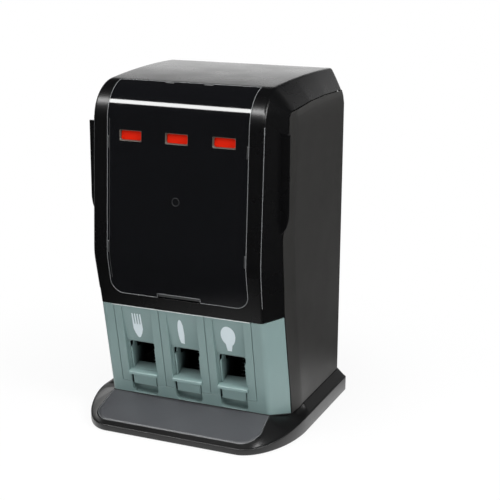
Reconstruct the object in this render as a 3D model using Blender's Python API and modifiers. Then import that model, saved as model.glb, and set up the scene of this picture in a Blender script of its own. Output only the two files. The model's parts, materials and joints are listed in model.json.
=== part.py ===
# Countertop cutlery dispenser with three lanes, press levers and a lift-up front door.
# Metres, +Z up, the front faces -Y. The origin is on the ground under the middle of the base.
import math

import bmesh
import bpy
from mathutils import Matrix, Vector

# Overall sizes
BASE_WIDTH = 0.2896
BASE_DEPTH = 0.2642
OVERALL_HEIGHT = 0.4445

# Clearances and walls
GAP = 0.0003
SEAM = 0.0006
OVERRUN = 0.004
WALL = 0.0026
DOOR_WALL = 0.0032
SMALL_BREAK = 0.0008

# Base tray
SKIRT_LIFT = 0.0012
SKIRT_FRONT_HEIGHT = 0.0095
SKIRT_SIDE_HEIGHT = 0.0210
SKIRT_RISE_RUN = 0.1000
SKIRT_BREAK = 0.0012
CORNER_REACH_X = 0.0550
CORNER_REACH_Y = 0.1020
MATCH_SETBACK = 0.1400
CORNER_POWER = 1.9
REAR_CORNER_RADIUS = 0.0080
SEAT_HEIGHT = 0.0320
RIM_SETBACK = 0.0035
RIM_HEIGHT = 0.0145
RIM_WIDTH = 0.0016
RIM_STEP = 0.0011
RIM_SIDE_INSET = 0.0318
RIM_HALF_WIDTH = BASE_WIDTH / 2 - RIM_SIDE_INSET
RIM_CORNER_X = 0.0200
RIM_CORNER_Y = 0.0260
RIM_STEPS = 6
FOOT_DROP = 0.0090
FOOT_DROP_MARGIN = 0.25
FOOT_SHELF_WIDTH = 0.0032
FOOT_SLOPE_WIDTH = 0.0065
FRONT_STEPS = 4
CORNER_STEPS = 20
SIDE_STEPS = 5
REAR_STEPS = 3
TRAY_WALL = 0.0028
BODY_MARGIN = 0.0008

# Rubber feet
FOOT_RADIUS = 0.0100
FOOT_HEIGHT = 0.0032
FOOT_BOSS_WALL = 0.0022
FRONT_FOOT_INSET = 0.0548
FRONT_FOOT_X = BASE_WIDTH / 2 - FRONT_FOOT_INSET
FRONT_FOOT_SETBACK = 0.0300
REAR_FOOT_SIDE_INSET = 0.0298
REAR_FOOT_X = BASE_WIDTH / 2 - REAR_FOOT_SIDE_INSET
REAR_FOOT_INSET = 0.0300

# Front and top profile, as setback from the tray's front edge and height
FASCIA_FOOT_SETBACK = 0.0625
BROW_SETBACK = 0.0228
BROW_HEIGHT = 0.2280
BROW_RADIUS = 0.0800
SHOULDER_SETBACK = 0.0339
SHOULDER_RADIUS = 0.0460
CROWN_START_SETBACK = 0.0755
CROWN_DROP = 0.0040
SKIRT_REAR_SHOW = 0.0074
BODY_REAR_SETBACK = BASE_DEPTH - SKIRT_REAR_SHOW
BODY_REAR_RADIUS = 0.0055
CROWN_PEAK_INSET = 0.0718
CROWN_PEAK_SETBACK = BODY_REAR_SETBACK - CROWN_PEAK_INSET
CROWN_REACH = CROWN_PEAK_SETBACK - CROWN_START_SETBACK
SKIRT_SIDE_SHOW = 0.0110
BODY_HALF_WIDTH = BASE_WIDTH / 2 - SKIRT_SIDE_SHOW
FACE_FOOT_INSET = 0.0238
FACE_BROW_INSET = 0.0221
CROWN_FRONT_INSET = 0.0243
CROWN_REAR_INSET = 0.0182
FACE_HALF_FOOT = BODY_HALF_WIDTH - FACE_FOOT_INSET
FACE_HALF_BROW = BODY_HALF_WIDTH - FACE_BROW_INSET
CROWN_HALF_FRONT = BODY_HALF_WIDTH - CROWN_FRONT_INSET
CROWN_HALF_REAR = BODY_HALF_WIDTH - CROWN_REAR_INSET
FACE_CORNER = 0.0045
EDGE_LOW_INSET = 0.0093
EDGE_HIGH_INSET = 0.0058
EDGE_TOP_INSET = 0.0048
EDGE_HALF_LOW = BODY_HALF_WIDTH - EDGE_LOW_INSET
EDGE_HALF_HIGH = BODY_HALF_WIDTH - EDGE_HIGH_INSET
EDGE_HALF_TOP = BODY_HALF_WIDTH - EDGE_TOP_INSET
EDGE_CORNER = 0.0080
ROW_SPACING = 0.0360
SEAM_FALL = 0.0016
FLARE_RUN = 0.0180
REAR_RETURN = 0.0010
PANEL_SHOULDER_DROP = 0.0445
PANEL_SHOULDER_START = OVERALL_HEIGHT - PANEL_SHOULDER_DROP
PANEL_SHOULDER_IN = 0.0042

# Height and setback of the side panel's front edge, as shares of the height and depth
SIDE_EDGE_SHARES = (
    (0.000, 0.405),
    (0.061, 0.382),
    (0.214, 0.322),
    (0.371, 0.265),
    (0.472, 0.250),
    (0.585, 0.228),
    (0.697, 0.242),
    (0.927, 0.261),
    (1.000, 0.265),
)
# Setback and height of the seam under the top, as shares of the depth and height
TOP_SEAM_SHARES = (
    (0.250, 0.9270),
    (0.300, 0.9290),
    (0.382, 0.9323),
    (0.515, 0.9377),
    (0.720, 0.9393),
    (0.940, 0.9354),
    (1.000, 0.9350),
)

# Fascia, lanes and openings; heights here run up the sloping fascia from its foot
FASCIA_TOP_HEIGHT = 0.1595
FASCIA_SIDE_WIDTH = 0.0158
LANE_PITCH = (FACE_HALF_FOOT - FASCIA_SIDE_WIDTH) * 2 / 3
LANE_NAMES = ("fork", "knife", "spoon")
WINDOW_FOOT_RISE = 0.0174
BEZEL_THICKNESS = 0.0030
BLOCK_DEPTH = 0.0090
BLOCK_SIDE_MARGIN = 0.0088
BLOCK_HALF_WIDTH = LANE_PITCH / 2 - BLOCK_SIDE_MARGIN
CHANNEL_SIDE_MARGIN = 0.0109
CHANNEL_HALF_WIDTH = LANE_PITCH / 2 - CHANNEL_SIDE_MARGIN
CHANNEL_TOP_RISE = 0.1266
CHANNEL_FOOT_RISE = 0.0293
LABEL_FOOT_RISE = 0.0786
LABEL_TOP_DEPTH = 0.0012
LABEL_FOOT_DEPTH = 0.0048
CHANNEL_DEPTH = 0.0060
THROAT_SIDE_MARGIN = 0.0130
THROAT_HALF_WIDTH = LANE_PITCH / 2 - THROAT_SIDE_MARGIN
THROAT_TOP_RISE = 0.0756
THROAT_CORNER = 0.0040
POCKET_SIDE_MARGIN = 0.0129
POCKET_HALF_WIDTH = LANE_PITCH / 2 - POCKET_SIDE_MARGIN
POCKET_FOOT_RISE = 0.0016
POCKET_TOP_RISE = 0.0110
POCKET_DEPTH = 0.0145
POCKET_RADIUS = 0.0060
POCKET_WALL = 0.0022

# Icons on the labels; places on the sloping label from its foot
ICON_THICKNESS = 0.0004
ICON_GAP = 0.00015
ICON_MIDDLE_RISE = 0.0225
ICON_HEIGHT = 0.0360
FORK_WIDTH = 0.0155
KNIFE_WIDTH = 0.0088
SPOON_WIDTH = 0.0205

# Chutes
LIP_SIDE_MARGIN = 0.0112
LIP_HALF_WIDTH = LANE_PITCH / 2 - LIP_SIDE_MARGIN
LIP_PROUD = 0.0025
LIP_HEIGHT = 0.0041
CHUTE_SIDE_MARGIN = 0.0136
CHUTE_HALF_WIDTH = LANE_PITCH / 2 - CHUTE_SIDE_MARGIN
CHUTE_WALL = 0.0018
CHUTE_DEPTH = 0.0205
CHUTE_CLIMB = 0.0036
CHUTE_FLOOR = 0.0022
CHUTE_WALL_FRONT_RISE = 0.0655
CHUTE_NOTCH_RUN = 0.0095
CHUTE_WALL_REAR_RISE = 0.0780

# Levers, their axle and the toothed sectors
AXLE_SETBACK = 0.0740
AXLE_HEIGHT = 0.0580
AXLE_RADIUS = 0.0020
BOSS_RADIUS = 0.0046
TAB_SIDE_MARGIN = 0.0151
TAB_HALF_WIDTH = LANE_PITCH / 2 - TAB_SIDE_MARGIN
TAB_FOOT_RISE = 0.0133
TAB_TOP_RISE = 0.0271
TAB_DEPTH = 0.0018
TAB_THICKNESS = 0.0026
ARM_SIDE_INSET = 0.0063
ARM_HALF_WIDTH = TAB_HALF_WIDTH - ARM_SIDE_INSET
ARM_FOOT_RISE = 0.0190
ARM_HEIGHT = 0.0050
TAIL_LENGTH = 0.0180
TAIL_HALF_WIDTH = 0.0050
TAIL_RISE = 0.0040
TAIL_THICKNESS = 0.0030
TAIL_REACH = 0.0050
GEAR_MODULE = 0.0020
SECTOR_RADIUS = 0.0380
SECTOR_TEETH = 4
SECTOR_SIDE_MARGIN = 0.0064
SECTOR_OFFSET = LANE_PITCH / 2 - SECTOR_SIDE_MARGIN
SECTOR_THICKNESS = 0.0036
SECTOR_WEB = 0.0060
BACKLASH = 0.0003
PRESSURE_ANGLE = math.radians(20)
ADDENDUM_SHARE = 1.0
DEDENDUM_SHARE = 1.25
FLANK_STEPS = 4
SPRING_RADIUS = 0.0036
SPRING_WIRE = 0.0009
SPRING_CURLS = 7
SPRING_CURL_POINTS = 8

# Deck, shuttles and magazine
DECK_THICKNESS = 0.0030
DECK_FRONT_SETBACK = 0.0640
DECK_WIDE_SETBACK = 0.1120
DECK_FRONT_OVERHANG = 0.0032
CHUTE_NOTCH_SETBACK = 0.0800
CHUTE_NOTCH_HALF = CHUTE_HALF_WIDTH + SMALL_BREAK * 2.75
SLOT_SIDE_CLEARANCE = 0.0015
SLOT_REAR_SETBACK = 0.1050
EAR_THICKNESS = 0.0030
EAR_FRONT_REACH = 0.0070
EAR_REAR_REACH = 0.0070
EAR_DROP = 0.0070
SHUTTLE_THICKNESS = 0.0025
SHUTTLE_FRONT_SETBACK = 0.0880
SHUTTLE_REAR_INSET = 0.0368
SHUTTLE_REAR_SETBACK = BODY_REAR_SETBACK - SHUTTLE_REAR_INSET
PUSHER_HEIGHT = 0.0060
PUSHER_THICKNESS = 0.0040
RACK_TEETH = 5
RACK_EMBED_SHARE = 0.7
DIVIDER_THICKNESS = 0.0020
DIVIDER_FRONT_SETBACK = 0.0600
DIVIDER_REAR_INSET = 0.0208
DIVIDER_REAR_SETBACK = BODY_REAR_SETBACK - DIVIDER_REAR_INSET
DIVIDER_TOP_DROP = 0.0245
DIVIDER_TOP = OVERALL_HEIGHT - DIVIDER_TOP_DROP
SHELF_WIDTH = 0.0060
SHELF_HEIGHT = 0.0080
SHELF_FRONT_SETBACK = 0.1300
SHELF_REAR_INSET = 0.0268
SHELF_REAR_SETBACK = BODY_REAR_SETBACK - SHELF_REAR_INSET

# Door, hinge, latch and indicator flags
DOOR_FOOT_HEIGHT = 0.1772
DOOR_SIDE_WIDTH = 0.0171
DOOR_HALF_WIDTH = FACE_HALF_FOOT - DOOR_SIDE_WIDTH
DOOR_CORNER = 0.0170
DOOR_GAP = 0.0010
HINGE_INSET = 0.0069
HINGE_SETBACK = CROWN_START_SETBACK - HINGE_INSET
BEAD_RADIUS = 0.00155
HINGE_CLEARANCE = 0.00045
LUG_OFFSET = 0.0260
LUG_HALF_WIDTH = 0.0060
LUG_RADIUS = 0.0015
LUG_REACH = 0.0045
HINGE_PIN_RADIUS = 0.0007
HINGE_PIN_LENGTH = 0.0240
NOTCH_REACH = 0.0024
PULL_HALF_WIDTH = 0.0290
PULL_HEIGHT = 0.0047
LATCH_PIN_RADIUS = 0.0009
LATCH_BOSS_RADIUS = 0.0024
LATCH_PIVOT_DEPTH = 0.0062
LATCH_PIVOT_RISE = 0.0092
LATCH_EAR_OFFSET = 0.0240
LATCH_EAR_THICKNESS = 0.0020
PADDLE_DEPTH = 0.0012
PADDLE_THICKNESS = 0.0022
LATCH_ARM_HALF = 0.0100
LATCH_ARM_REACH = 0.0100
BARB_THICKNESS = 0.0022
BARB_DROP = 0.0060
CATCH_HALF_WIDTH = 0.0120
CATCH_WALL = 0.0020
LATCH_CLEARANCE = 0.0005
WINDOW_PITCH_INSET = 0.0011
WINDOW_PITCH = LANE_PITCH - WINDOW_PITCH_INSET
WINDOW_DROP = 0.0670
WINDOW_HEIGHT = OVERALL_HEIGHT - WINDOW_DROP
WINDOW_SIDE_MARGIN = 0.0164
WINDOW_HALF_WIDTH = LANE_PITCH / 2 - WINDOW_SIDE_MARGIN
WINDOW_HALF_HEIGHT = 0.00675
WINDOW_CORNER = 0.0020
DIMPLE_DROP = 0.0755
DIMPLE_HEIGHT = WINDOW_HEIGHT - DIMPLE_DROP
DIMPLE_RADIUS = 0.0062
DIMPLE_DEPTH = 0.0006
FLAG_SIDE_LAP = 0.0025
FLAG_HALF_WIDTH = WINDOW_HALF_WIDTH + FLAG_SIDE_LAP
FLAG_HALF_HEIGHT = 0.0095
FLAG_THICKNESS = 0.0014
FLAG_PIVOT_RISE = 0.0140
FLAG_PIVOT_HEIGHT = WINDOW_HEIGHT + FLAG_PIVOT_RISE
FLAG_PIVOT_DEPTH = 0.0075
FLAG_BOSS_RADIUS = 0.0022
FLAG_ROD_RADIUS = 0.0010
FLAG_TAIL_LENGTH = 0.0120
FLAG_TAIL_HALF = 0.0030
FLAG_EAR_THICKNESS = 0.0020
FLAG_EAR_CLEARANCE = 0.0068
FLAG_EAR_OUTER = WINDOW_PITCH + FLAG_HALF_WIDTH + FLAG_EAR_CLEARANCE
FLAG_EAR_INNER = WINDOW_PITCH / 2

# Side grips, foot blocks, rear panel and screws
GRIP_TIP_INSET = 0.0002
GRIP_ROOT_INSET = 0.0173
GRIP_TIP_HALF = BODY_HALF_WIDTH - GRIP_TIP_INSET
GRIP_ROOT_HALF = BODY_HALF_WIDTH - GRIP_ROOT_INSET
GRIP_FRONT_SETBACK = 0.0571
GRIP_REAR_SETBACK = 0.0603
GRIP_TOP_DROP = 0.0565
GRIP_TOP = OVERALL_HEIGHT - GRIP_TOP_DROP
GRIP_FOOT = 0.2660
GRIP_TAPER = 0.0280
BLOCK_WIDTH = 0.0160
BLOCK_LENGTH = 0.0160
BLOCK_HEIGHT = 0.0120
FRONT_BLOCK_SETBACK = 0.1500
REAR_BLOCK_INSET = 0.0368
REAR_BLOCK_SETBACK = BODY_REAR_SETBACK - REAR_BLOCK_INSET
REAR_PANEL_DROP = 0.0303
REAR_PANEL_TOP = OVERALL_HEIGHT - REAR_PANEL_DROP
REAR_LOW_SCREW = 0.0700
REAR_HIGH_SCREW_DROP = 0.0645
REAR_HIGH_SCREW = OVERALL_HEIGHT - REAR_HIGH_SCREW_DROP
SCREW_SIDE_INSET = 0.0138
SCREW_X = BODY_HALF_WIDTH - SCREW_SIDE_INSET
SCREW_RADIUS = 0.0015
SCREW_HEAD_RADIUS = 0.0034
SCREW_HEAD_HEIGHT = 0.0020
SCREW_SIDES = 10
SCREW_LENGTH = 0.0100

FRONT = -BASE_DEPTH / 2
BODY_FOOT = SEAT_HEIGHT + GAP
TILT = math.atan2(FASCIA_FOOT_SETBACK - BROW_SETBACK, BROW_HEIGHT - SEAT_HEIGHT)
LANES = tuple((name, (index - 1) * LANE_PITCH) for index, name in enumerate(LANE_NAMES))
LANE_EDGES = tuple((index - 1.5) * LANE_PITCH for index in range(len(LANE_NAMES) + 1))
FASCIA_FRAME = (
    Matrix.Translation((0, FRONT + FASCIA_FOOT_SETBACK, SEAT_HEIGHT)) @ Matrix.Rotation(TILT, 4, "X")
)
AXLE = Vector((0, FRONT + AXLE_SETBACK, AXLE_HEIGHT))
DECK_TOP = AXLE_HEIGHT + SECTOR_RADIUS + DECK_THICKNESS
DECK_FOOT = DECK_TOP - DECK_THICKNESS


def clear_scene():
    """Take away whatever the new file holds."""
    for item in list(bpy.data.objects):
        bpy.data.objects.remove(item)


def collection(name):
    """A new collection linked to the scene."""
    made = bpy.data.collections.new(name)
    bpy.context.scene.collection.children.link(made)
    return made


def material(name, colour, roughness, metallic=0.0):
    """A Principled material; the colour is linear."""
    made = bpy.data.materials.new(name)
    made.use_nodes = True
    shader = made.node_tree.nodes["Principled BSDF"]
    shader.inputs["Base Color"].default_value = (*colour, 1)
    shader.inputs["Roughness"].default_value = roughness
    shader.inputs["Metallic"].default_value = metallic
    return made


clear_scene()
PARTS = collection("cutlery_dispenser")
CUTTERS = collection("cutters")
BLACK_GLOSS = material("gloss_black", (0.008, 0.008, 0.009), 0.12)
BLACK_SATIN = material("satin_black", (0.012, 0.012, 0.013), 0.32)
GREY_MATT = material("matt_dark_grey", (0.045, 0.045, 0.043), 0.55)
BLACK_MATT = material("matt_black", (0.022, 0.022, 0.024), 0.5)
SAGE = material("sage_green", (0.165, 0.240, 0.230), 0.42)
PALE = material("pale_print", (0.62, 0.70, 0.73), 0.5)
RED = material("red_flag", (0.75, 0.02, 0.005), 0.35)
INNER = material("natural_black", (0.03, 0.03, 0.03), 0.5)
ACETAL = material("white_acetal", (0.72, 0.72, 0.70), 0.35)
STEEL = material("bright_steel", (0.62, 0.62, 0.62), 0.3, 1.0)
RUBBER = material("black_rubber", (0.015, 0.015, 0.015), 0.85)


def place(name, mesh, finish=None, matrix=None):
    """Link a mesh as a part, or as a cutter when it has no finish."""
    if matrix is not None:
        mesh.transform(matrix)
    item = bpy.data.objects.new(name, mesh)
    if finish is None:
        CUTTERS.objects.link(item)
        item.display_type = "WIRE"
        item.hide_render = True
    else:
        PARTS.objects.link(item)
        mesh.materials.append(finish)
    return item


def mesh_of(form, name):
    """Turn a bmesh into a mesh whose faces point out."""
    bmesh.ops.recalc_face_normals(form, faces=form.faces)
    mesh = bpy.data.meshes.new(name)
    form.to_mesh(mesh)
    form.free()
    return mesh


def box(name, low, high, finish=None, matrix=None):
    """A block between two corners."""
    form = bmesh.new()
    low, high = Vector(low), Vector(high)
    size = high - low
    where = Matrix.Translation((low + high) / 2) @ Matrix.Diagonal((*size, 1))
    bmesh.ops.create_cube(form, size=1, matrix=where)
    return place(name, mesh_of(form, name), finish, matrix)


def rounded_box(name, low, high, radius, segments, matrix=None):
    """A cutting block with every edge rounded."""
    item = box(name, low, high, None, matrix)
    bevel = item.modifiers.new("round", "BEVEL")
    bevel.width = radius
    bevel.segments = segments
    return item


def rod(name, axis, centre, radius, low, high, finish=None, sides=20, matrix=None):
    """A cylinder along X, Y or Z from low to high, round the other two numbers of centre."""
    form = bmesh.new()
    turn = {
        "X": Matrix.Rotation(math.pi / 2, 4, "Y"),
        "Y": Matrix.Rotation(-math.pi / 2, 4, "X"),
        "Z": Matrix.Identity(4),
    }[axis]
    middle = Vector(centre)
    middle["XYZ".index(axis)] = (low + high) / 2
    bmesh.ops.create_cone(
        form,
        cap_ends=True,
        segments=sides,
        radius1=radius,
        radius2=radius,
        depth=high - low,
        matrix=Matrix.Translation(middle) @ turn,
    )
    mesh = mesh_of(form, name)
    mesh.shade_smooth()
    mesh.set_sharp_from_angle(angle=math.radians(40))
    return place(name, mesh, finish, matrix)


def is_level(face):
    """Whether all corners of a face share one height."""
    heights = [vert.co.z for vert in face.verts]
    return max(heights) - min(heights) < GAP / 30


def slab(name, outline, axis, low, high, finish=None, matrix=None):
    """A flat outline, in the two axes other than axis, made thick from low to high along axis."""
    curve = bpy.data.curves.new(name, "CURVE")
    curve.dimensions = "2D"
    curve.fill_mode = "BOTH"
    curve.extrude = (high - low) / 2
    line = curve.splines.new("POLY")
    line.points.add(len(outline) - 1)
    for point, (across, up) in zip(line.points, outline):
        point.co = (across, up, 0, 1)
    line.use_cyclic_u = True
    flat = bpy.data.objects.new(name + "_outline", curve)
    bpy.context.scene.collection.objects.link(flat)
    seen = flat.evaluated_get(bpy.context.evaluated_depsgraph_get())
    mesh = bpy.data.meshes.new_from_object(seen)
    bpy.data.objects.remove(flat)
    bpy.data.curves.remove(curve)
    form = bmesh.new()
    form.from_mesh(mesh)
    bpy.data.meshes.remove(mesh)
    bmesh.ops.remove_doubles(form, verts=form.verts, dist=GAP / 30)
    caps = [edge for edge in form.edges if all(is_level(face) for face in edge.link_faces)]
    bmesh.ops.dissolve_edges(form, edges=caps, use_verts=False)
    turns = {
        "X": Matrix(((0, 0, 1, 0), (1, 0, 0, 0), (0, 1, 0, 0), (0, 0, 0, 1))),
        "Y": Matrix(((1, 0, 0, 0), (0, 0, -1, 0), (0, 1, 0, 0), (0, 0, 0, 1))),
        "Z": Matrix.Identity(4),
    }
    middle = Vector((0, 0, 0))
    middle["XYZ".index(axis)] = (low + high) / 2
    bmesh.ops.transform(form, verts=form.verts, matrix=Matrix.Translation(middle) @ turns[axis])
    return place(name, mesh_of(form, name), finish, matrix)


def loft(name, rings, finish=None, matrix=None):
    """A closed solid through rings of equally many points, capped at both ends."""
    form = bmesh.new()
    rows = [[form.verts.new(point) for point in ring] for ring in rings]
    count = len(rows[0])
    for lower, upper in zip(rows, rows[1:]):
        for i in range(count):
            j = (i + 1) % count
            form.faces.new((lower[i], lower[j], upper[j], upper[i]))
    form.faces.new(rows[0])
    form.faces.new(rows[-1])
    return place(name, mesh_of(form, name), finish, matrix)


def sheet(name, rows, thickness, finish, mirror=False):
    """A moulded wall: a grid of points made thick on its inner side."""
    count = len(rows[0])
    points = [point for row in rows for point in row]
    faces = []
    for j in range(len(rows) - 1):
        for i in range(count - 1):
            start = j * count + i
            faces.append((start, start + 1, start + count + 1, start + count))
    mesh = bpy.data.meshes.new(name)
    mesh.from_pydata(points, [], faces)
    mesh.validate()
    mesh.shade_smooth()
    mesh.set_sharp_from_angle(angle=math.radians(40))
    item = place(name, mesh, finish)
    if mirror:
        halves = item.modifiers.new("halves", "MIRROR")
        halves.merge_threshold = GAP / 10
    solid = item.modifiers.new("wall", "SOLIDIFY")
    solid.thickness = thickness
    solid.offset = -1
    solid.use_even_offset = True
    return item


def combine(item, other, operation):
    """Cut other out of item, or join it on."""
    change = item.modifiers.new(other.name, "BOOLEAN")
    change.operation = operation
    change.object = other
    change.solver = "EXACT"


def cut(item, *others):
    for other in others:
        combine(item, other, "DIFFERENCE")


def join(item, *others):
    for other in others:
        combine(item, other, "UNION")


def origin_to(item, point):
    """Move an object's origin to a point and leave its shape where it is."""
    point = Vector(point)
    item.data.transform(Matrix.Translation(-point))
    item.location = point
    return item


def between(value, table):
    """Straight-line reading of a table of (key, value) pairs."""
    for (low, first), (high, last) in zip(table, table[1:]):
        if value <= high:
            return first + (last - first) * (value - low) / (high - low)
    return table[-1][1]


def eased(value):
    """Smooth step from 0 to 1."""
    value = min(1.0, max(0.0, value))
    return value * value * (3 - 2 * value)


def arc_between(before, corner, after, radius, steps):
    """Points of the arc of a radius that rounds a corner in a plane."""
    before, corner, after = Vector(before), Vector(corner), Vector(after)
    back = (before - corner).normalized()
    ahead = (after - corner).normalized()
    half = back.angle(ahead) / 2
    centre = corner + (back + ahead).normalized() * radius / math.sin(half)
    start = corner + back * radius / math.tan(half) - centre
    sweep = math.pi - 2 * half
    if back.x * ahead.y - back.y * ahead.x > 0:
        sweep = -sweep
    turns = [Matrix.Rotation(sweep * k / steps, 2) for k in range(steps + 1)]
    return [tuple(centre + turn @ start) for turn in turns]


def crown_height(setback):
    """Height of the top's middle line, a shallow parabola."""
    return OVERALL_HEIGHT - CROWN_DROP * ((setback - CROWN_PEAK_SETBACK) / CROWN_REACH) ** 2


def profile_corners():
    """The three corners that the front's profile is rounded from, and its end on the top."""
    slope = -2 * CROWN_DROP * (CROWN_START_SETBACK - CROWN_PEAK_SETBACK) / CROWN_REACH**2
    start = crown_height(CROWN_START_SETBACK)
    shoulder = start - slope * (CROWN_START_SETBACK - SHOULDER_SETBACK)
    return (
        (FASCIA_FOOT_SETBACK, SEAT_HEIGHT),
        (BROW_SETBACK, BROW_HEIGHT),
        (SHOULDER_SETBACK, shoulder),
        (CROWN_START_SETBACK, start),
    )


CORNERS = profile_corners()
BROW_ARC = arc_between(*CORNERS[:3], BROW_RADIUS, 6)
SHOULDER_ARC = arc_between(*CORNERS[1:], SHOULDER_RADIUS, 9)


def front_setback(height):
    """How far back the front face is at a height below the shoulder."""
    line = [CORNERS[0], *BROW_ARC, *SHOULDER_ARC]
    return between(height, [(z, y) for y, z in line])


def side_edge(height):
    """Half-width and setback of the side panel's front edge at a height."""
    share = eased((height - BROW_HEIGHT) / (SHOULDER_ARC[0][1] - BROW_HEIGHT))
    half = EDGE_HALF_LOW + (EDGE_HALF_HIGH - EDGE_HALF_LOW) * share
    return half, between(height / OVERALL_HEIGHT, SIDE_EDGE_SHARES) * BASE_DEPTH


def top_seam(setback):
    """Height of the seam between the top and the side panel."""
    return between(setback / BASE_DEPTH, TOP_SEAM_SHARES) * OVERALL_HEIGHT


def section(middle, edge, outer, fall=None, ease=FACE_CORNER):
    """Half of one cross-section: flat to the edge, a rounded corner, then down to outer."""
    middle, edge, outer = Vector(middle), Vector(edge), Vector(outer)
    start = edge + (middle - edge).normalized() * ease
    end = edge + (outer - edge).normalized() * ease
    points = [middle, middle.lerp(start, 0.5)]
    for k in range(5):
        t = k / 4
        points.append(start * (1 - t) ** 2 + edge * 2 * t * (1 - t) + end * t**2)
    points += [outer + fall if fall else end.lerp(outer, 0.5), outer]
    return [tuple(point) for point in points]


def face_half(height):
    """Half-width of the front face at a height."""
    table = (
        (SEAT_HEIGHT, FACE_HALF_FOOT),
        (FASCIA_TOP_HEIGHT, FACE_HALF_FOOT),
        (BROW_HEIGHT, FACE_HALF_BROW),
        (SHOULDER_ARC[0][1], FACE_HALF_BROW),
    )
    return between(max(height, SEAT_HEIGHT), table)


def front_section(height):
    """A level section of the front from the middle to the side panel's edge."""
    y = FRONT + front_setback(height)
    half, setback = side_edge(height)
    return section((0, y, height), (face_half(height), y, height), (half, FRONT + setback, height))


def top_section(setback, seam, height, half, outer, turn=math.pi / 2, share=1.0):
    """A section across the top from the middle down to the side seam, met square on."""
    y = FRONT + setback
    fall = Vector((0, -math.cos(turn), math.sin(turn))) * SEAM_FALL * share
    return section((0, y, height), (half, y, height), (outer, FRONT + seam[0], seam[1]), fall)


def edge_heights(low, high):
    """Heights of the rows that the front cover and the side panels share."""
    marks = [share * OVERALL_HEIGHT for share, _ in SIDE_EDGE_SHARES]
    marks += [BROW_ARC[0][1], BROW_ARC[2][1], BROW_ARC[4][1], BROW_ARC[-1][1]]
    inside = [low, *sorted(z for z in marks if low < z < high), high]
    rows = [low]
    for first, last in zip(inside, inside[1:]):
        steps = math.ceil((last - first) / ROW_SPACING)
        rows += span(first, last, steps)[1:]
    return rows


def seam_corner(share, low_setback, low_height, end_setback):
    """Setback, height and turn along the side seam's rounded upper corner."""
    top = top_seam(low_setback + EDGE_CORNER)
    rise = top - EDGE_CORNER - low_height
    bend = EDGE_CORNER * math.pi / 2
    level = end_setback - low_setback - EDGE_CORNER
    run = share * (rise + bend + level)
    if run <= rise:
        return low_setback, low_height + run, 0.0
    if run <= rise + bend:
        turn = (run - rise) / EDGE_CORNER
        setback = low_setback + EDGE_CORNER * (1 - math.cos(turn))
        return setback, top - EDGE_CORNER * (1 - math.sin(turn)), turn
    setback = low_setback + EDGE_CORNER + run - rise - bend
    return setback, top_seam(setback), math.pi / 2


def span(low, high, steps):
    """Evenly spaced values from low to high."""
    return [low + (high - low) * k / steps for k in range(steps + 1)]


def hood_rows():
    """Sections of the front cover from the fascia up, over the shoulder and back to the rear."""
    foot = FASCIA_TOP_HEIGHT + SEAM
    shoulder = SHOULDER_ARC[0][1]
    rows = [front_section(height) for height in edge_heights(foot, shoulder)]
    low_half, low_setback = side_edge(shoulder)
    steps = len(SHOULDER_ARC) - 1
    for k, (y, z) in enumerate(SHOULDER_ARC[1:], 1):
        share = k / steps
        half = FACE_HALF_BROW + (CROWN_HALF_FRONT - FACE_HALF_BROW) * eased(share)
        outer = low_half + (EDGE_HALF_TOP - low_half) * share
        setback, seam, turn = seam_corner(share, low_setback, shoulder, SHOULDER_ARC[-1][0] + EDGE_CORNER)
        rows.append(top_section(y, (setback, seam), z, half, outer, turn, min(1.0, 3 * share)))
    start = SHOULDER_ARC[-1][0]
    end = BODY_REAR_SETBACK - BODY_REAR_RADIUS
    for y in span(start, end, 6)[1:]:
        share = (y - start) / (BODY_REAR_SETBACK - start)
        half = CROWN_HALF_FRONT + (CROWN_HALF_REAR - CROWN_HALF_FRONT) * share
        setback = y + EDGE_CORNER * (1 - share) ** 2
        rows.append(top_section(y, (setback, top_seam(setback)), crown_height(y), half, EDGE_HALF_TOP))
    rear = rows[-1]
    foot_height = top_seam(end) - SMALL_BREAK
    for turn in span(0, math.pi / 2, 3)[1:]:
        inset = BODY_REAR_RADIUS * (1 - math.cos(turn))
        y = FRONT + end + BODY_REAR_RADIUS * math.sin(turn)
        shrink = 1 - inset / EDGE_HALF_TOP
        lower = 1 - inset / (OVERALL_HEIGHT - foot_height)
        rows.append([(x * shrink, y, foot_height + (z - foot_height) * lower) for x, _, z in rear])
    across = [x for x, _, _ in rows[-1]]
    across[-2] = (across[-3] + across[-1]) / 2
    rows.append([(x, y, foot_height) for x in across])
    return rows


def panel_half(height):
    """Greatest half-width of the side panel, drawn in at its top."""
    rise = (height - PANEL_SHOULDER_START) / (top_seam(CROWN_PEAK_SETBACK) - PANEL_SHOULDER_START)
    return BODY_HALF_WIDTH - PANEL_SHOULDER_IN * max(0.0, rise) ** 1.5


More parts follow.
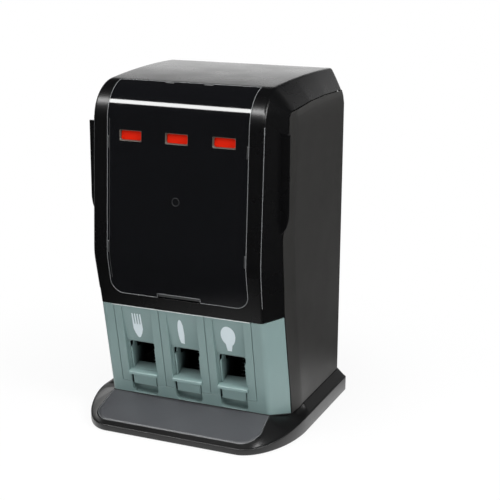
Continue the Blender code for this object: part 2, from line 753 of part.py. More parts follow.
def panel_rows():
    """Level rows of the right side panel, each from its front edge to its rear turn."""
    rear = BODY_REAR_SETBACK - BODY_REAR_RADIUS
    low = BODY_FOOT
    peak = top_seam(CROWN_START_SETBACK) - SEAM - EDGE_CORNER
    shoulder = SHOULDER_ARC[0][1]
    heights = edge_heights(low, FASCIA_TOP_HEIGHT + SEAM)[:-1] + edge_heights(FASCIA_TOP_HEIGHT + SEAM, shoulder)
    heights = heights + span(shoulder, peak, 3)[1:]
    rows = []
    for height in heights:
        row = []
        level = (height - low) / (peak - low)
        half, edge = side_edge(height)
        half = half + SEAM
        edge = edge + SEAM
        runs = [FLARE_RUN * share for share in (0, 0.2, 0.45, 0.7, 1.0)]
        rest = [edge + FLARE_RUN + (rear - edge - FLARE_RUN) * k / 6 for k in range(1, 7)]
        for y in [edge + run for run in runs] + rest:
            share = min(1.0, (y - edge) / FLARE_RUN)
            lift = math.sin(share * math.pi / 2)
            corner = max(0.0, EDGE_CORNER - (y - edge))
            top = top_seam(y) - SEAM - EDGE_CORNER + math.sqrt(EDGE_CORNER**2 - corner**2)
            z = low + (top - low) * level
            x = half + (panel_half(z) - half) * lift
            foot = foot_drop(EDGE_HALF_LOW, y) if height == low else 0
            row.append((x, FRONT + y, z - foot))
        last_x, _, last_z = row[-1]
        for turn in span(0, math.pi / 2, 4)[1:]:
            x = last_x - BODY_REAR_RADIUS * (1 - math.cos(turn))
            row.append((x, FRONT + rear + BODY_REAR_RADIUS * math.sin(turn), last_z))
        row.append((row[-1][0] - REAR_RETURN, row[-1][1], last_z))
        rows.append(row)
    return rows


def reflected(rows):
    """The same rows on the other side, still facing out."""
    return [[(-x, y, z) for x, y, z in reversed(row)] for row in rows]


def rounded_outline(low, high, radius, steps=4, corners=(True, True, True, True)):
    """A rectangle in a plane, its corners from the lower right round rounded where asked."""
    places = (
        (high[0], low[1], -math.pi / 2),
        (high[0], high[1], 0),
        (low[0], high[1], math.pi / 2),
        (low[0], low[1], math.pi),
    )
    points = []
    for (x, z, start), rounded in zip(places, corners):
        if not rounded:
            points.append((x, z))
            continue
        cx = x - radius if x == high[0] else x + radius
        cz = z - radius if z == high[1] else z + radius
        for turn in span(start, start + math.pi / 2, steps):
            points.append((cx + radius * math.cos(turn), cz + radius * math.sin(turn)))
    return points


def resampled(points, steps):
    """Points evenly spaced along a line of points."""
    points = [Vector(point) for point in points]
    reach = [0.0]
    for first, last in zip(points, points[1:]):
        reach.append(reach[-1] + (last - first).length)
    made = []
    for k in range(steps + 1):
        want = reach[-1] * k / steps
        index = min(len(points) - 2, max(i for i, value in enumerate(reach) if value <= want + GAP / 1000))
        gap = reach[index + 1] - reach[index]
        made.append(points[index].lerp(points[index + 1], min(1.0, (want - reach[index]) / gap)))
    return made


def ledge_height(setback):
    """Height of the sloping ledge in front of the fascia."""
    slope = (SEAT_HEIGHT - RIM_HEIGHT + RIM_STEP) / (FASCIA_FOOT_SETBACK - RIM_SETBACK)
    return min(SEAT_HEIGHT, RIM_HEIGHT - RIM_STEP + slope * (setback - RIM_SETBACK))


def foot_drop(x, setback):
    """How far the body's foot hangs below the seat at its front corners, where side and fascia meet."""
    edge_half, edge_setback = side_edge(SEAT_HEIGHT)
    across = (abs(x) - FACE_HALF_FOOT) / (edge_half - FACE_HALF_FOOT)
    along = (edge_setback + FLARE_RUN - setback) / FLARE_RUN
    return FOOT_DROP * max(0.0, min(1.0, across, along))


def tray_drop(x, setback):
    """How far the tray sinks under the body's hanging foot corners, with a margin round their tips."""
    return min(FOOT_DROP, foot_drop(x, setback) * (1 + FOOT_DROP_MARGIN))


def drawn_in(points, index, depth):
    """A point of a plan moved inward, square to the plan's line there."""
    before, after = points[index - 1], points[index + 1]
    step_x, step_y = after[0] - before[0], after[1] - before[1]
    length = math.hypot(step_x, step_y)
    return points[index][0] - depth * step_y / length, points[index][1] + depth * step_x / length


def tray_outline():
    """Half of the tray's plan from the middle of its front to the middle of its rear."""
    half = BASE_WIDTH / 2
    front = [(x, 0) for x in span(0, half - CORNER_REACH_X, FRONT_STEPS)]
    curve = []
    for turn in span(0, math.pi / 2, 40):
        x = half - CORNER_REACH_X * (1 - math.sin(turn) ** (2 / CORNER_POWER))
        y = CORNER_REACH_Y * (1 - math.cos(turn) ** (2 / CORNER_POWER))
        curve.append((x, y))
    curve.append((half, MATCH_SETBACK))
    corner = [tuple(point) for point in resampled(curve, CORNER_STEPS)]
    side = [(half, y) for y in span(MATCH_SETBACK, BASE_DEPTH - REAR_CORNER_RADIUS, SIDE_STEPS)]
    rear = []
    for turn in span(0, math.pi / 2, REAR_STEPS):
        x = half - REAR_CORNER_RADIUS * (1 - math.cos(turn))
        rear.append((x, BASE_DEPTH - REAR_CORNER_RADIUS * (1 - math.sin(turn))))
    back = [(x, BASE_DEPTH) for x in span(half - REAR_CORNER_RADIUS, 0, FRONT_STEPS)]
    return front[:-1] + corner + side[1:] + rear[1:] + back[1:]


def rim_outline(inset):
    """Half of the rim's plan, its points matching those of the tray's outline."""
    x = RIM_HALF_WIDTH - inset
    y = RIM_SETBACK + inset
    straight = x - RIM_CORNER_X
    front = [(value, y) for value in span(0, straight, FRONT_STEPS)]
    turn_points = []
    for turn in span(0, math.pi / 2, RIM_STEPS):
        turn_points.append((straight + RIM_CORNER_X * math.sin(turn), y + RIM_CORNER_Y * (1 - math.cos(turn))))
    margin = BODY_MARGIN - inset
    edge_half, edge_setback = side_edge(SEAT_HEIGHT)
    body = BODY_HALF_WIDTH + margin
    line = turn_points + [
        (FACE_HALF_FOOT + margin, FASCIA_FOOT_SETBACK + margin),
        (edge_half + margin, edge_setback),
        (body, edge_setback + FLARE_RUN),
        (body, MATCH_SETBACK),
    ]
    corner = [tuple(point) for point in resampled(line, CORNER_STEPS)]
    rear_setback = BODY_REAR_SETBACK + margin
    side = [(body, value) for value in span(MATCH_SETBACK, rear_setback - BODY_REAR_RADIUS, SIDE_STEPS)]
    rear = []
    for turn in span(0, math.pi / 2, REAR_STEPS):
        along = body - BODY_REAR_RADIUS * (1 - math.cos(turn))
        rear.append((along, rear_setback - BODY_REAR_RADIUS * (1 - math.sin(turn))))
    back = [(value, rear_setback) for value in span(body - BODY_REAR_RADIUS, 0, FRONT_STEPS)]
    return front[:-1] + corner + side[1:] + rear[1:] + back[1:]


def whole_ring(half, height):
    """Both halves of a plan as one ring, at heights given by a function of x and setback."""
    right = [(x, FRONT + y, height(x, y)) for x, y in half]
    left = [(-x, y, z) for x, y, z in reversed(right[1:-1])]
    return right + left


def skirt_height(setback):
    """Height of the tray's upright edge, low in front and higher along the sides."""
    return SKIRT_FRONT_HEIGHT + (SKIRT_SIDE_HEIGHT - SKIRT_FRONT_HEIGHT) * eased(setback / SKIRT_RISE_RUN)


def shrunk(half, inset):
    """A tray plan drawn in by an inset on every side."""
    x_share = 1 - inset / (BASE_WIDTH / 2)
    y_share = 1 - 2 * inset / BASE_DEPTH
    return [(x * x_share, inset + y * y_share) for x, y in half]


def tray_rings(inset):
    """Rings of the tray from its foot up to the seat, or of its hollow when inset."""
    outer = shrunk(tray_outline(), inset)
    drop = inset
    foot = SKIRT_LIFT if inset == 0 else -OVERRUN
    rim = rim_outline(0)
    inner = rim_outline(RIM_WIDTH)
    ahead = sum(1 for x, y in inner[: len(inner) // 2] if y <= FASCIA_FOOT_SETBACK)
    corner = inner[ahead][0] - RIM_WIDTH
    seat = [(corner * k / ahead, FASCIA_FOOT_SETBACK) for k in range(ahead)]
    x_share = 1 - RIM_WIDTH / BODY_HALF_WIDTH
    y_share = 1 - RIM_WIDTH / BODY_REAR_SETBACK
    shelf = [((x + seat_x) / 2, (y + seat_y) / 2) for (x, y), (seat_x, seat_y) in zip(inner, seat)]
    for index, (x, y) in enumerate(inner[ahead:], ahead):
        seat_y = FASCIA_FOOT_SETBACK + (y - FASCIA_FOOT_SETBACK) * y_share
        if y < MATCH_SETBACK:
            shelf.append(drawn_in(inner, index, FOOT_SHELF_WIDTH))
            seat.append(drawn_in(inner, index, FOOT_SHELF_WIDTH + FOOT_SLOPE_WIDTH))
        else:
            shelf.append((x * (1 + x_share) / 2, (y + seat_y) / 2))
            seat.append((x * x_share, seat_y))
    sunk = {place: tray_drop(x, y) for place, (x, y) in zip(shelf, inner)}
    rings = [
        whole_ring(outer, lambda x, y: foot),
        whole_ring(outer, lambda x, y: skirt_height(y) - drop),
    ]
    if inset == 0:
        rounded = shrunk(outer, SKIRT_BREAK)
        rings.append(whole_ring(rounded, lambda x, y: skirt_height(y) + SKIRT_BREAK))
        rings.append(whole_ring(rim, lambda x, y: min(SEAT_HEIGHT, ledge_height(y) + RIM_STEP) - tray_drop(x, y)))
    rings.append(whole_ring(inner, lambda x, y: ledge_height(y) - drop - tray_drop(x, y)))
    rings.append(whole_ring(shelf, lambda x, y: ledge_height(y) - drop - sunk[(x, y)]))
    rings.append(whole_ring(seat, lambda x, y: SEAT_HEIGHT - drop))
    return rings


def foot_boss(name, x, setback):
    """A round boss from a foot up into the tray's sloping or flat top."""
    rings = ([], [])
    radius = FOOT_RADIUS + FOOT_BOSS_WALL
    for k in range(24):
        turn = 2 * math.pi * k / 24
        y = setback + radius * math.sin(turn)
        place_x = x + radius * math.cos(turn)
        rings[0].append((place_x, FRONT + y, FOOT_HEIGHT + GAP))
        rings[1].append((place_x, FRONT + y, ledge_height(y) - TRAY_WALL / 2))
    return loft(name + "_boss", rings)


def feet_places():
    """Names and places of the four feet."""
    rear = BASE_DEPTH - REAR_FOOT_INSET
    return (
        ("foot_front_left", -FRONT_FOOT_X, FRONT_FOOT_SETBACK),
        ("foot_front_right", FRONT_FOOT_X, FRONT_FOOT_SETBACK),
        ("foot_rear_left", -REAR_FOOT_X, rear),
        ("foot_rear_right", REAR_FOOT_X, rear),
    )


def block_places():
    """Names and places of the four blocks that hold the body down to the tray."""
    x = BODY_HALF_WIDTH - WALL - BLOCK_WIDTH / 2
    return (
        ("front_left", -x, FRONT_BLOCK_SETBACK),
        ("front_right", x, FRONT_BLOCK_SETBACK),
        ("rear_left", -x, REAR_BLOCK_SETBACK),
        ("rear_right", x, REAR_BLOCK_SETBACK),
    )


def base_tray():
    """The hollow tray, its foot bosses and the holes for its screws."""
    tray = loft("base_tray", tray_rings(0), BLACK_MATT)
    cut(tray, loft("tray_hollow", tray_rings(TRAY_WALL)))
    for name, x, setback in feet_places():
        join(tray, foot_boss(name, x, setback))
        rod(name, "Z", (x, FRONT + setback, 0), FOOT_RADIUS, 0, FOOT_HEIGHT, RUBBER, sides=24)
    for name, x, setback in block_places():
        centre = (x, FRONT + setback, 0)
        hole = SCREW_RADIUS + GAP
        cut(tray, rod(name + "_hole", "Z", centre, hole, SEAT_HEIGHT - TRAY_WALL - OVERRUN, SEAT_HEIGHT + OVERRUN))
        seat = SEAT_HEIGHT - TRAY_WALL - GAP
        screw("base_screw_" + name, Matrix.Translation((x, FRONT + setback, seat)), SCREW_LENGTH)


def screw(name, matrix, length):
    """A pan-head screw: its head below the seat plane, its shank up along +Z."""
    outline = (
        (0, length),
        (SCREW_RADIUS * 0.6, length),
        (SCREW_RADIUS, length - SCREW_RADIUS),
        (SCREW_RADIUS, 0),
        (SCREW_HEAD_RADIUS, 0),
        (SCREW_HEAD_RADIUS, -SCREW_HEAD_HEIGHT * 0.6),
        (SCREW_HEAD_RADIUS * 0.7, -SCREW_HEAD_HEIGHT),
        (0, -SCREW_HEAD_HEIGHT),
    )
    form = bmesh.new()
    line = [form.verts.new((x, 0, z)) for x, z in outline]
    edges = [form.edges.new(pair) for pair in zip(line, line[1:])]
    bmesh.ops.spin(
        form,
        geom=line + edges,
        axis=(0, 0, 1),
        cent=(0, 0, 0),
        angle=2 * math.pi,
        steps=SCREW_SIDES,
        use_merge=True,
    )
    bmesh.ops.remove_doubles(form, verts=form.verts, dist=GAP / 30)
    return place(name, mesh_of(form, name), STEEL, matrix)


def side_panels():
    """Two side panels with their foot blocks, deck shelves and rear screw blocks."""
    rows = panel_rows()
    for side, sign in (("left", -1), ("right", 1)):
        panel = sheet("side_panel_" + side, rows if sign > 0 else reflected(rows), WALL, GREY_MATT)
        inner = BODY_HALF_WIDTH - WALL / 2
        for name, x, setback in block_places():
            if x * sign < 0:
                continue
            y = FRONT + setback
            xs = sorted((sign * inner, x - sign * BLOCK_WIDTH / 2))
            low = (xs[0], y - BLOCK_LENGTH / 2, BODY_FOOT)
            join(panel, box(name + "_block", low, (xs[1], y + BLOCK_LENGTH / 2, BODY_FOOT + BLOCK_HEIGHT)))
            top = BODY_FOOT + BLOCK_HEIGHT - WALL
            cut(panel, rod(name + "_pilot", "Z", (x, y, 0), SCREW_RADIUS + GAP, SEAT_HEIGHT - OVERRUN, top))
        xs = sorted((sign * inner, sign * (BODY_HALF_WIDTH - WALL - SHELF_WIDTH)))
        low = (xs[0], FRONT + SHELF_FRONT_SETBACK, DECK_FOOT - GAP - SHELF_HEIGHT)
        join(panel, box("shelf_" + side, low, (xs[1], FRONT + SHELF_REAR_SETBACK, DECK_FOOT - GAP)))
        rear = FRONT + BODY_REAR_SETBACK - WALL - GAP
        xs = sorted((sign * inner, sign * (SCREW_X - BLOCK_WIDTH / 2)))
        for level, z in (("low", REAR_LOW_SCREW), ("high", REAR_HIGH_SCREW)):
            low = (xs[0], rear - BLOCK_LENGTH, z - BLOCK_HEIGHT / 2)
            tag = level + "_" + side
            join(panel, box("rear_block_" + tag, low, (xs[1], rear, z + BLOCK_HEIGHT / 2)))
            pilot = rod(
                "rear_pilot_" + tag,
                "Y",
                (sign * SCREW_X, 0, z),
                SCREW_RADIUS + GAP,
                rear - BLOCK_LENGTH + WALL,
                rear + OVERRUN,
            )
            cut(panel, pilot)


def rear_panel():
    """The flat rear panel and its four screws."""
    half = BODY_HALF_WIDTH - BODY_REAR_RADIUS - REAR_RETURN - SEAM
    narrow = half - PANEL_SHOULDER_IN
    rear = FRONT + BODY_REAR_SETBACK
    shoulder = PANEL_SHOULDER_START - ROW_SPACING
    outline = (
        (-half, BODY_FOOT),
        (half, BODY_FOOT),
        (half, shoulder),
        (narrow, REAR_PANEL_TOP),
        (-narrow, REAR_PANEL_TOP),
        (-half, shoulder),
    )
    panel = slab("rear_panel", outline, "Y", rear - WALL, rear, GREY_MATT)
    for side, sign in (("left", -1), ("right", 1)):
        for level, z in (("low", REAR_LOW_SCREW), ("high", REAR_HIGH_SCREW)):
            x = sign * SCREW_X
            hole = SCREW_RADIUS + GAP
            tag = level + "_" + side
            cut(panel, rod("rear_hole_" + tag, "Y", (x, 0, z), hole, rear - WALL - OVERRUN, rear + OVERRUN))
            matrix = Matrix.Translation((x, rear + GAP, z)) @ Matrix.Rotation(math.pi / 2, 4, "X")
            screw("rear_screw_" + tag, matrix, SCREW_LENGTH)


def hinge_point():
    """The door's hinge axis, in the middle of the door's wall at its top edge."""
    table = [(y, z) for y, z in SHOULDER_ARC]
    slope = math.atan2(SHOULDER_ARC[-1][1] - SHOULDER_ARC[-2][1], SHOULDER_ARC[-1][0] - SHOULDER_ARC[-2][0])
    height = between(HINGE_SETBACK, table) - DOOR_WALL / 2 * math.cos(slope)
    return Vector((0, FRONT + HINGE_SETBACK, height))


HINGE = hinge_point()


def grip_bar(side, sign):
    """The upright finger grip on one side of the front cover."""
    rings = []
    for z, share in (
        (GRIP_FOOT, 0.15),
        (GRIP_FOOT + GRIP_TAPER / 2, 0.7),
        (GRIP_FOOT + GRIP_TAPER, 1.0),
        (GRIP_TOP, 1.0),
    ):
        tip = GRIP_ROOT_HALF + (GRIP_TIP_HALF - GRIP_ROOT_HALF) * share
        middle = (GRIP_FRONT_SETBACK + GRIP_REAR_SETBACK) / 2
        ring = (
            (GRIP_ROOT_HALF, GRIP_FRONT_SETBACK),
            (tip - WALL / 2, GRIP_FRONT_SETBACK),
            (tip, middle - WALL / 2),
            (tip, middle + WALL / 2),
            (tip - WALL / 2, GRIP_REAR_SETBACK),
            (GRIP_ROOT_HALF, GRIP_REAR_SETBACK),
        )
        rings.append([(sign * x, FRONT + y, z) for x, y in ring])
    return loft("grip_" + side, rings)


def front_hood():
    """The front frame and top in one moulding, with the door's opening and hinge lugs."""
    hood = sheet("front_hood", hood_rows(), WALL, BLACK_SATIN, mirror=True)
    for side, sign in (("left", -1), ("right", 1)):
        join(hood, grip_bar(side, sign))
    half = DOOR_HALF_WIDTH + DOOR_GAP
    edge = HINGE.y + BEAD_RADIUS + HINGE_CLEARANCE
    outline = rounded_outline(
        (-half, DOOR_FOOT_HEIGHT - DOOR_GAP),
        (half, OVERALL_HEIGHT + OVERRUN),
        DOOR_CORNER + DOOR_GAP,
        5,
        (True, False, False, True),
    )
    cut(hood, slab("door_opening", outline, "Y", FRONT - OVERRUN, edge))
    for side, sign in (("left", -1), ("right", 1)):
        x = sign * LUG_OFFSET
        low = (x - LUG_HALF_WIDTH, HINGE.y, HINGE.z - LUG_RADIUS * 0.8)
        high = (x + LUG_HALF_WIDTH, HINGE.y + LUG_REACH, HINGE.z + LUG_RADIUS * 0.8)
        join(hood, box("lug_web_" + side, low, high))
        run = LUG_HALF_WIDTH - GAP
        join(hood, rod("lug_" + side, "X", HINGE, LUG_RADIUS, x - run, x + run, sides=16))
        bore = HINGE_PIN_RADIUS + GAP
        cut(hood, rod("lug_bore_" + side, "X", HINGE, bore, low[0] - OVERRUN, high[0] + OVERRUN, sides=16))
    foot = (DOOR_FOOT_HEIGHT - SEAT_HEIGHT) / math.cos(TILT)
    lip = LATCH_PIVOT_DEPTH + LATCH_ARM_REACH - BARB_THICKNESS - DOOR_GAP
    shelf = foot - DOOR_GAP
    barb_foot = foot + LATCH_PIVOT_RISE - BARB_THICKNESS - BARB_DROP
    catch = (
        (WALL * 0.8, shelf - CATCH_WALL),
        (lip, shelf - CATCH_WALL),
        (lip, barb_foot - LATCH_CLEARANCE),
        (lip - CATCH_WALL, barb_foot - LATCH_CLEARANCE),
        (lip - CATCH_WALL, shelf),
        (WALL * 0.8, shelf),
    )
    join(hood, slab("latch_catch", catch, "X", -CATCH_HALF_WIDTH, CATCH_HALF_WIDTH, None, FASCIA_FRAME))


def door_rows():
    """Sections of the door from its rounded foot up to its hinge edge."""
    rows = []
    foot = DOOR_FOOT_HEIGHT
    for turn in span(0, math.pi / 2, 5):
        z = foot + DOOR_CORNER * (1 - math.cos(turn))
        half = DOOR_HALF_WIDTH - DOOR_CORNER * (1 - math.sin(turn))
        rows.append((half, front_setback(z), z))
    heights = [*span(BROW_ARC[1][1], BROW_ARC[-1][1], 4), SHOULDER_ARC[0][1]]
    rows += [(DOOR_HALF_WIDTH, front_setback(z), z) for z in heights if z > rows[-1][2] + GAP]
    table = [(y, z) for y, z in SHOULDER_ARC]
    for y, z in SHOULDER_ARC[1:]:
        if y < HINGE_SETBACK - DOOR_WALL:
            rows.append((DOOR_HALF_WIDTH, y, z))
    rows.append((DOOR_HALF_WIDTH, HINGE_SETBACK, between(HINGE_SETBACK, table)))
    return [[(half * k / 4, FRONT + y, z) for k in range(5)] for half, y, z in rows]


def front_door():
    """The curved door with its hinge bead, windows, pull notch, ears and dimple."""
    door = sheet("front_door", door_rows(), DOOR_WALL, BLACK_GLOSS, mirror=True)
    half = DOOR_HALF_WIDTH - GAP
    join(door, rod("door_bead", "X", HINGE, BEAD_RADIUS, -half, half, sides=24))
    for side, sign in (("left", -1), ("right", 1)):
        x = sign * LUG_OFFSET
        reach = LUG_HALF_WIDTH + DOOR_GAP / 2
        low = (x - reach, HINGE.y - NOTCH_REACH, HINGE.z - DOOR_WALL * 2)
        cut(door, box("lug_notch_" + side, low, (x + reach, HINGE.y + OVERRUN, HINGE.z + DOOR_WALL * 2)))
        bore = HINGE_PIN_RADIUS + GAP
        run = HINGE_PIN_LENGTH / 2 + GAP
        cut(door, rod("door_bore_" + side, "X", HINGE, bore, x - run, x + run, sides=16))
        run = HINGE_PIN_LENGTH / 2
        rod("hinge_pin_" + side, "X", HINGE, HINGE_PIN_RADIUS, x - run, x + run, STEEL, sides=12)
    foot = (DOOR_FOOT_HEIGHT - SEAT_HEIGHT) / math.cos(TILT)
    low = (-PULL_HALF_WIDTH, -OVERRUN, foot - OVERRUN)
    high = (PULL_HALF_WIDTH, DOOR_WALL + OVERRUN, foot + PULL_HEIGHT)
    cut(door, box("pull_notch", low, high, None, FASCIA_FRAME))
    depth = front_setback(WINDOW_HEIGHT)
    for name, lane in LANES:
        x = lane * WINDOW_PITCH / LANE_PITCH
        outline = rounded_outline(
            (x - WINDOW_HALF_WIDTH, WINDOW_HEIGHT - WINDOW_HALF_HEIGHT),
            (x + WINDOW_HALF_WIDTH, WINDOW_HEIGHT + WINDOW_HALF_HEIGHT),
            WINDOW_CORNER,
            3,
        )
        cut(door, slab("window_" + name, outline, "Y", FRONT + depth - OVERRUN, FRONT + depth + 2 * OVERRUN))
    y = FRONT + front_setback(DIMPLE_HEIGHT)
    cut(door, rod("dimple", "Y", (0, 0, DIMPLE_HEIGHT), DIMPLE_RADIUS, y - OVERRUN, y + DIMPLE_DEPTH, sides=24))
    rod_y = FRONT + front_setback(FLAG_PIVOT_HEIGHT) + FLAG_PIVOT_DEPTH
    reach = FLAG_BOSS_RADIUS + SMALL_BREAK
    for index, x in enumerate((-FLAG_EAR_OUTER, -FLAG_EAR_INNER, FLAG_EAR_INNER, FLAG_EAR_OUTER)):
        low = (x - FLAG_EAR_THICKNESS / 2, rod_y - FLAG_PIVOT_DEPTH + DOOR_WALL / 2, FLAG_PIVOT_HEIGHT - reach)
        high = (x + FLAG_EAR_THICKNESS / 2, rod_y + reach, FLAG_PIVOT_HEIGHT + reach)
        join(door, box("flag_ear_%d" % index, low, high))
    run = FLAG_EAR_OUTER + FLAG_EAR_THICKNESS
    centre = (0, rod_y, FLAG_PIVOT_HEIGHT)
    cut(door, rod("flag_rod_bore", "X", centre, FLAG_ROD_RADIUS + GAP, -run, run, sides=16))
    for index, x in enumerate((-LATCH_EAR_OFFSET, LATCH_EAR_OFFSET)):
        pivot = foot + LATCH_PIVOT_RISE
        low = (x - LATCH_EAR_THICKNESS / 2, DOOR_WALL / 2, pivot - LATCH_BOSS_RADIUS)
        high = (x + LATCH_EAR_THICKNESS / 2, LATCH_PIVOT_DEPTH + LATCH_BOSS_RADIUS, pivot + LATCH_BOSS_RADIUS)
        join(door, box("latch_ear_%d" % index, low, high, None, FASCIA_FRAME))
    bore = LATCH_PIN_RADIUS + GAP
    run = LATCH_EAR_OFFSET + LATCH_EAR_THICKNESS
    centre = (0, LATCH_PIVOT_DEPTH, foot + LATCH_PIVOT_RISE)
    cut(door, rod("latch_pin_bore", "X", centre, bore, -run, run, sides=16, matrix=FASCIA_FRAME))
    origin_to(door, HINGE)


def door_latch():
    """The push paddle under the door, its hooked arm and its pin."""
    foot = (DOOR_FOOT_HEIGHT - SEAT_HEIGHT) / math.cos(TILT)
    pivot = foot + LATCH_PIVOT_RISE
    top = foot + PULL_HEIGHT - GAP
    back = LATCH_PIVOT_DEPTH + LATCH_BOSS_RADIUS
    half = PULL_HALF_WIDTH - DOOR_GAP / 2
    paddle = (
        (PADDLE_DEPTH, foot + SMALL_BREAK),
        (PADDLE_DEPTH + PADDLE_THICKNESS, foot + SMALL_BREAK),
        (back - PADDLE_THICKNESS, top - PADDLE_THICKNESS),
        (back - PADDLE_THICKNESS, top),
        (PADDLE_DEPTH, top),
    )
    latch = slab("door_latch", paddle, "X", -half, half, BLACK_SATIN, FASCIA_FRAME)
    boss_half = LATCH_EAR_OFFSET - LATCH_EAR_THICKNESS / 2 - GAP
    centre = (0, LATCH_PIVOT_DEPTH, pivot)
    web = (
        (LATCH_PIVOT_DEPTH - SMALL_BREAK, top - SMALL_BREAK),
        (LATCH_PIVOT_DEPTH + SMALL_BREAK, top - SMALL_BREAK),
        (LATCH_PIVOT_DEPTH + SMALL_BREAK, pivot),
        (LATCH_PIVOT_DEPTH - SMALL_BREAK, pivot),
    )
    web_half = boss_half - SMALL_BREAK
    join(latch, slab("latch_web", web, "X", -web_half, web_half, None, FASCIA_FRAME))
    boss = rod("latch_boss", "X", centre, LATCH_BOSS_RADIUS, -boss_half, boss_half, matrix=FASCIA_FRAME)
    join(latch, boss)
    reach = LATCH_PIVOT_DEPTH + LATCH_ARM_REACH
    arm = (
        (LATCH_PIVOT_DEPTH, pivot - BARB_THICKNESS / 2),
        (reach - BARB_THICKNESS, pivot - BARB_THICKNESS),
        (reach - BARB_THICKNESS, pivot - BARB_THICKNESS - BARB_DROP),
        (reach, pivot - BARB_THICKNESS - BARB_DROP),
        (reach, pivot),
        (LATCH_PIVOT_DEPTH, pivot + BARB_THICKNESS / 2),
    )
    join(latch, slab("latch_arm", arm, "X", -LATCH_ARM_HALF, LATCH_ARM_HALF, None, FASCIA_FRAME))
    bore = LATCH_PIN_RADIUS + GAP
    run = boss_half + OVERRUN
    cut(latch, rod("latch_bore", "X", centre, bore, -run, run, sides=16, matrix=FASCIA_FRAME))
    run = LATCH_EAR_OFFSET + LATCH_EAR_THICKNESS / 2
    pin = rod("latch_pin", "X", centre, LATCH_PIN_RADIUS, -run, run, STEEL, 12, FASCIA_FRAME)
    point = FASCIA_FRAME @ Vector(centre)
    origin_to(latch, point)
    origin_to(pin, point)


def indicator_flags():
    """Three red flags behind the windows, hung from one rod on the door."""
    rod_y = FRONT + front_setback(FLAG_PIVOT_HEIGHT) + FLAG_PIVOT_DEPTH
    pivot = Vector((0, rod_y, FLAG_PIVOT_HEIGHT))
    run = FLAG_EAR_OUTER + FLAG_EAR_THICKNESS / 2
    rod("flag_rod", "X", pivot, FLAG_ROD_RADIUS, -run, run, STEEL, sides=12)
    low = WINDOW_HEIGHT - FLAG_HALF_HEIGHT
    high = WINDOW_HEIGHT + FLAG_HALF_HEIGHT
    face = DOOR_WALL + 2 * GAP
    for name, lane in LANES:
        x = lane * WINDOW_PITCH / LANE_PITCH
        plate = (
            (FRONT + front_setback(low) + face, low),
            (FRONT + front_setback(low) + face + FLAG_THICKNESS, low),
            (FRONT + front_setback(high) + face + FLAG_THICKNESS, high),
            (rod_y, FLAG_PIVOT_HEIGHT),
            (rod_y - FLAG_BOSS_RADIUS / 2, FLAG_PIVOT_HEIGHT),
            (FRONT + front_setback(high) + face, high),
        )
        flag = slab("flag_" + name, plate, "X", x - FLAG_HALF_WIDTH, x + FLAG_HALF_WIDTH, RED)
        run = FLAG_HALF_WIDTH - SMALL_BREAK
        boss = rod("flag_boss_" + name, "X", pivot, FLAG_BOSS_RADIUS, x - run, x + run)
        join(flag, boss)
        rise = FLAG_THICKNESS
        tail_low = (x - FLAG_TAIL_HALF, rod_y, FLAG_PIVOT_HEIGHT)
        tail_high = (x + FLAG_TAIL_HALF, rod_y + FLAG_TAIL_LENGTH, FLAG_PIVOT_HEIGHT + rise)
        join(flag, box("flag_tail_" + name, tail_low, tail_high))
        bore = FLAG_ROD_RADIUS + GAP
        run = FLAG_HALF_WIDTH + OVERRUN
        cut(flag, rod("flag_bore_" + name, "X", pivot, bore, x - run, x + run, sides=16))
        origin_to(flag, (x, pivot.y, pivot.z))


def fascia():
    """The sage surround with its corner returns and the three finger pockets."""
    heights = span(BODY_FOOT, FASCIA_TOP_HEIGHT, 5)
    rows = [front_section(z) for z in heights]
    rows[0] = [(x, y, z - foot_drop(x, y - FRONT)) for x, y, z in rows[0]]
    item = sheet("fascia", rows, WALL, SAGE, mirror=True)
    for name, x in LANES:
        half = POCKET_HALF_WIDTH + POCKET_WALL
        low = (x - half, WALL / 2, POCKET_FOOT_RISE - POCKET_WALL / 2)
        high = (x + half, POCKET_DEPTH + POCKET_WALL, POCKET_TOP_RISE)
        join(item, box("pocket_block_" + name, low, high, None, FASCIA_FRAME))
        low = (x - POCKET_HALF_WIDTH, -POCKET_DEPTH, POCKET_FOOT_RISE)
        high = (x + POCKET_HALF_WIDTH, POCKET_DEPTH, POCKET_FOOT_RISE + 2 * POCKET_DEPTH)
        cut(item, rounded_box("pocket_" + name, low, high, POCKET_RADIUS, 4, FASCIA_FRAME))
    half = LANE_PITCH * 1.5 + GAP
    low = (-half, -OVERRUN, WINDOW_FOOT_RISE)
    high = (half, WALL + OVERRUN, (FASCIA_TOP_HEIGHT - SEAT_HEIGHT) / math.cos(TILT) + OVERRUN)
    cut(item, box("bezel_window", low, high, None, FASCIA_FRAME))


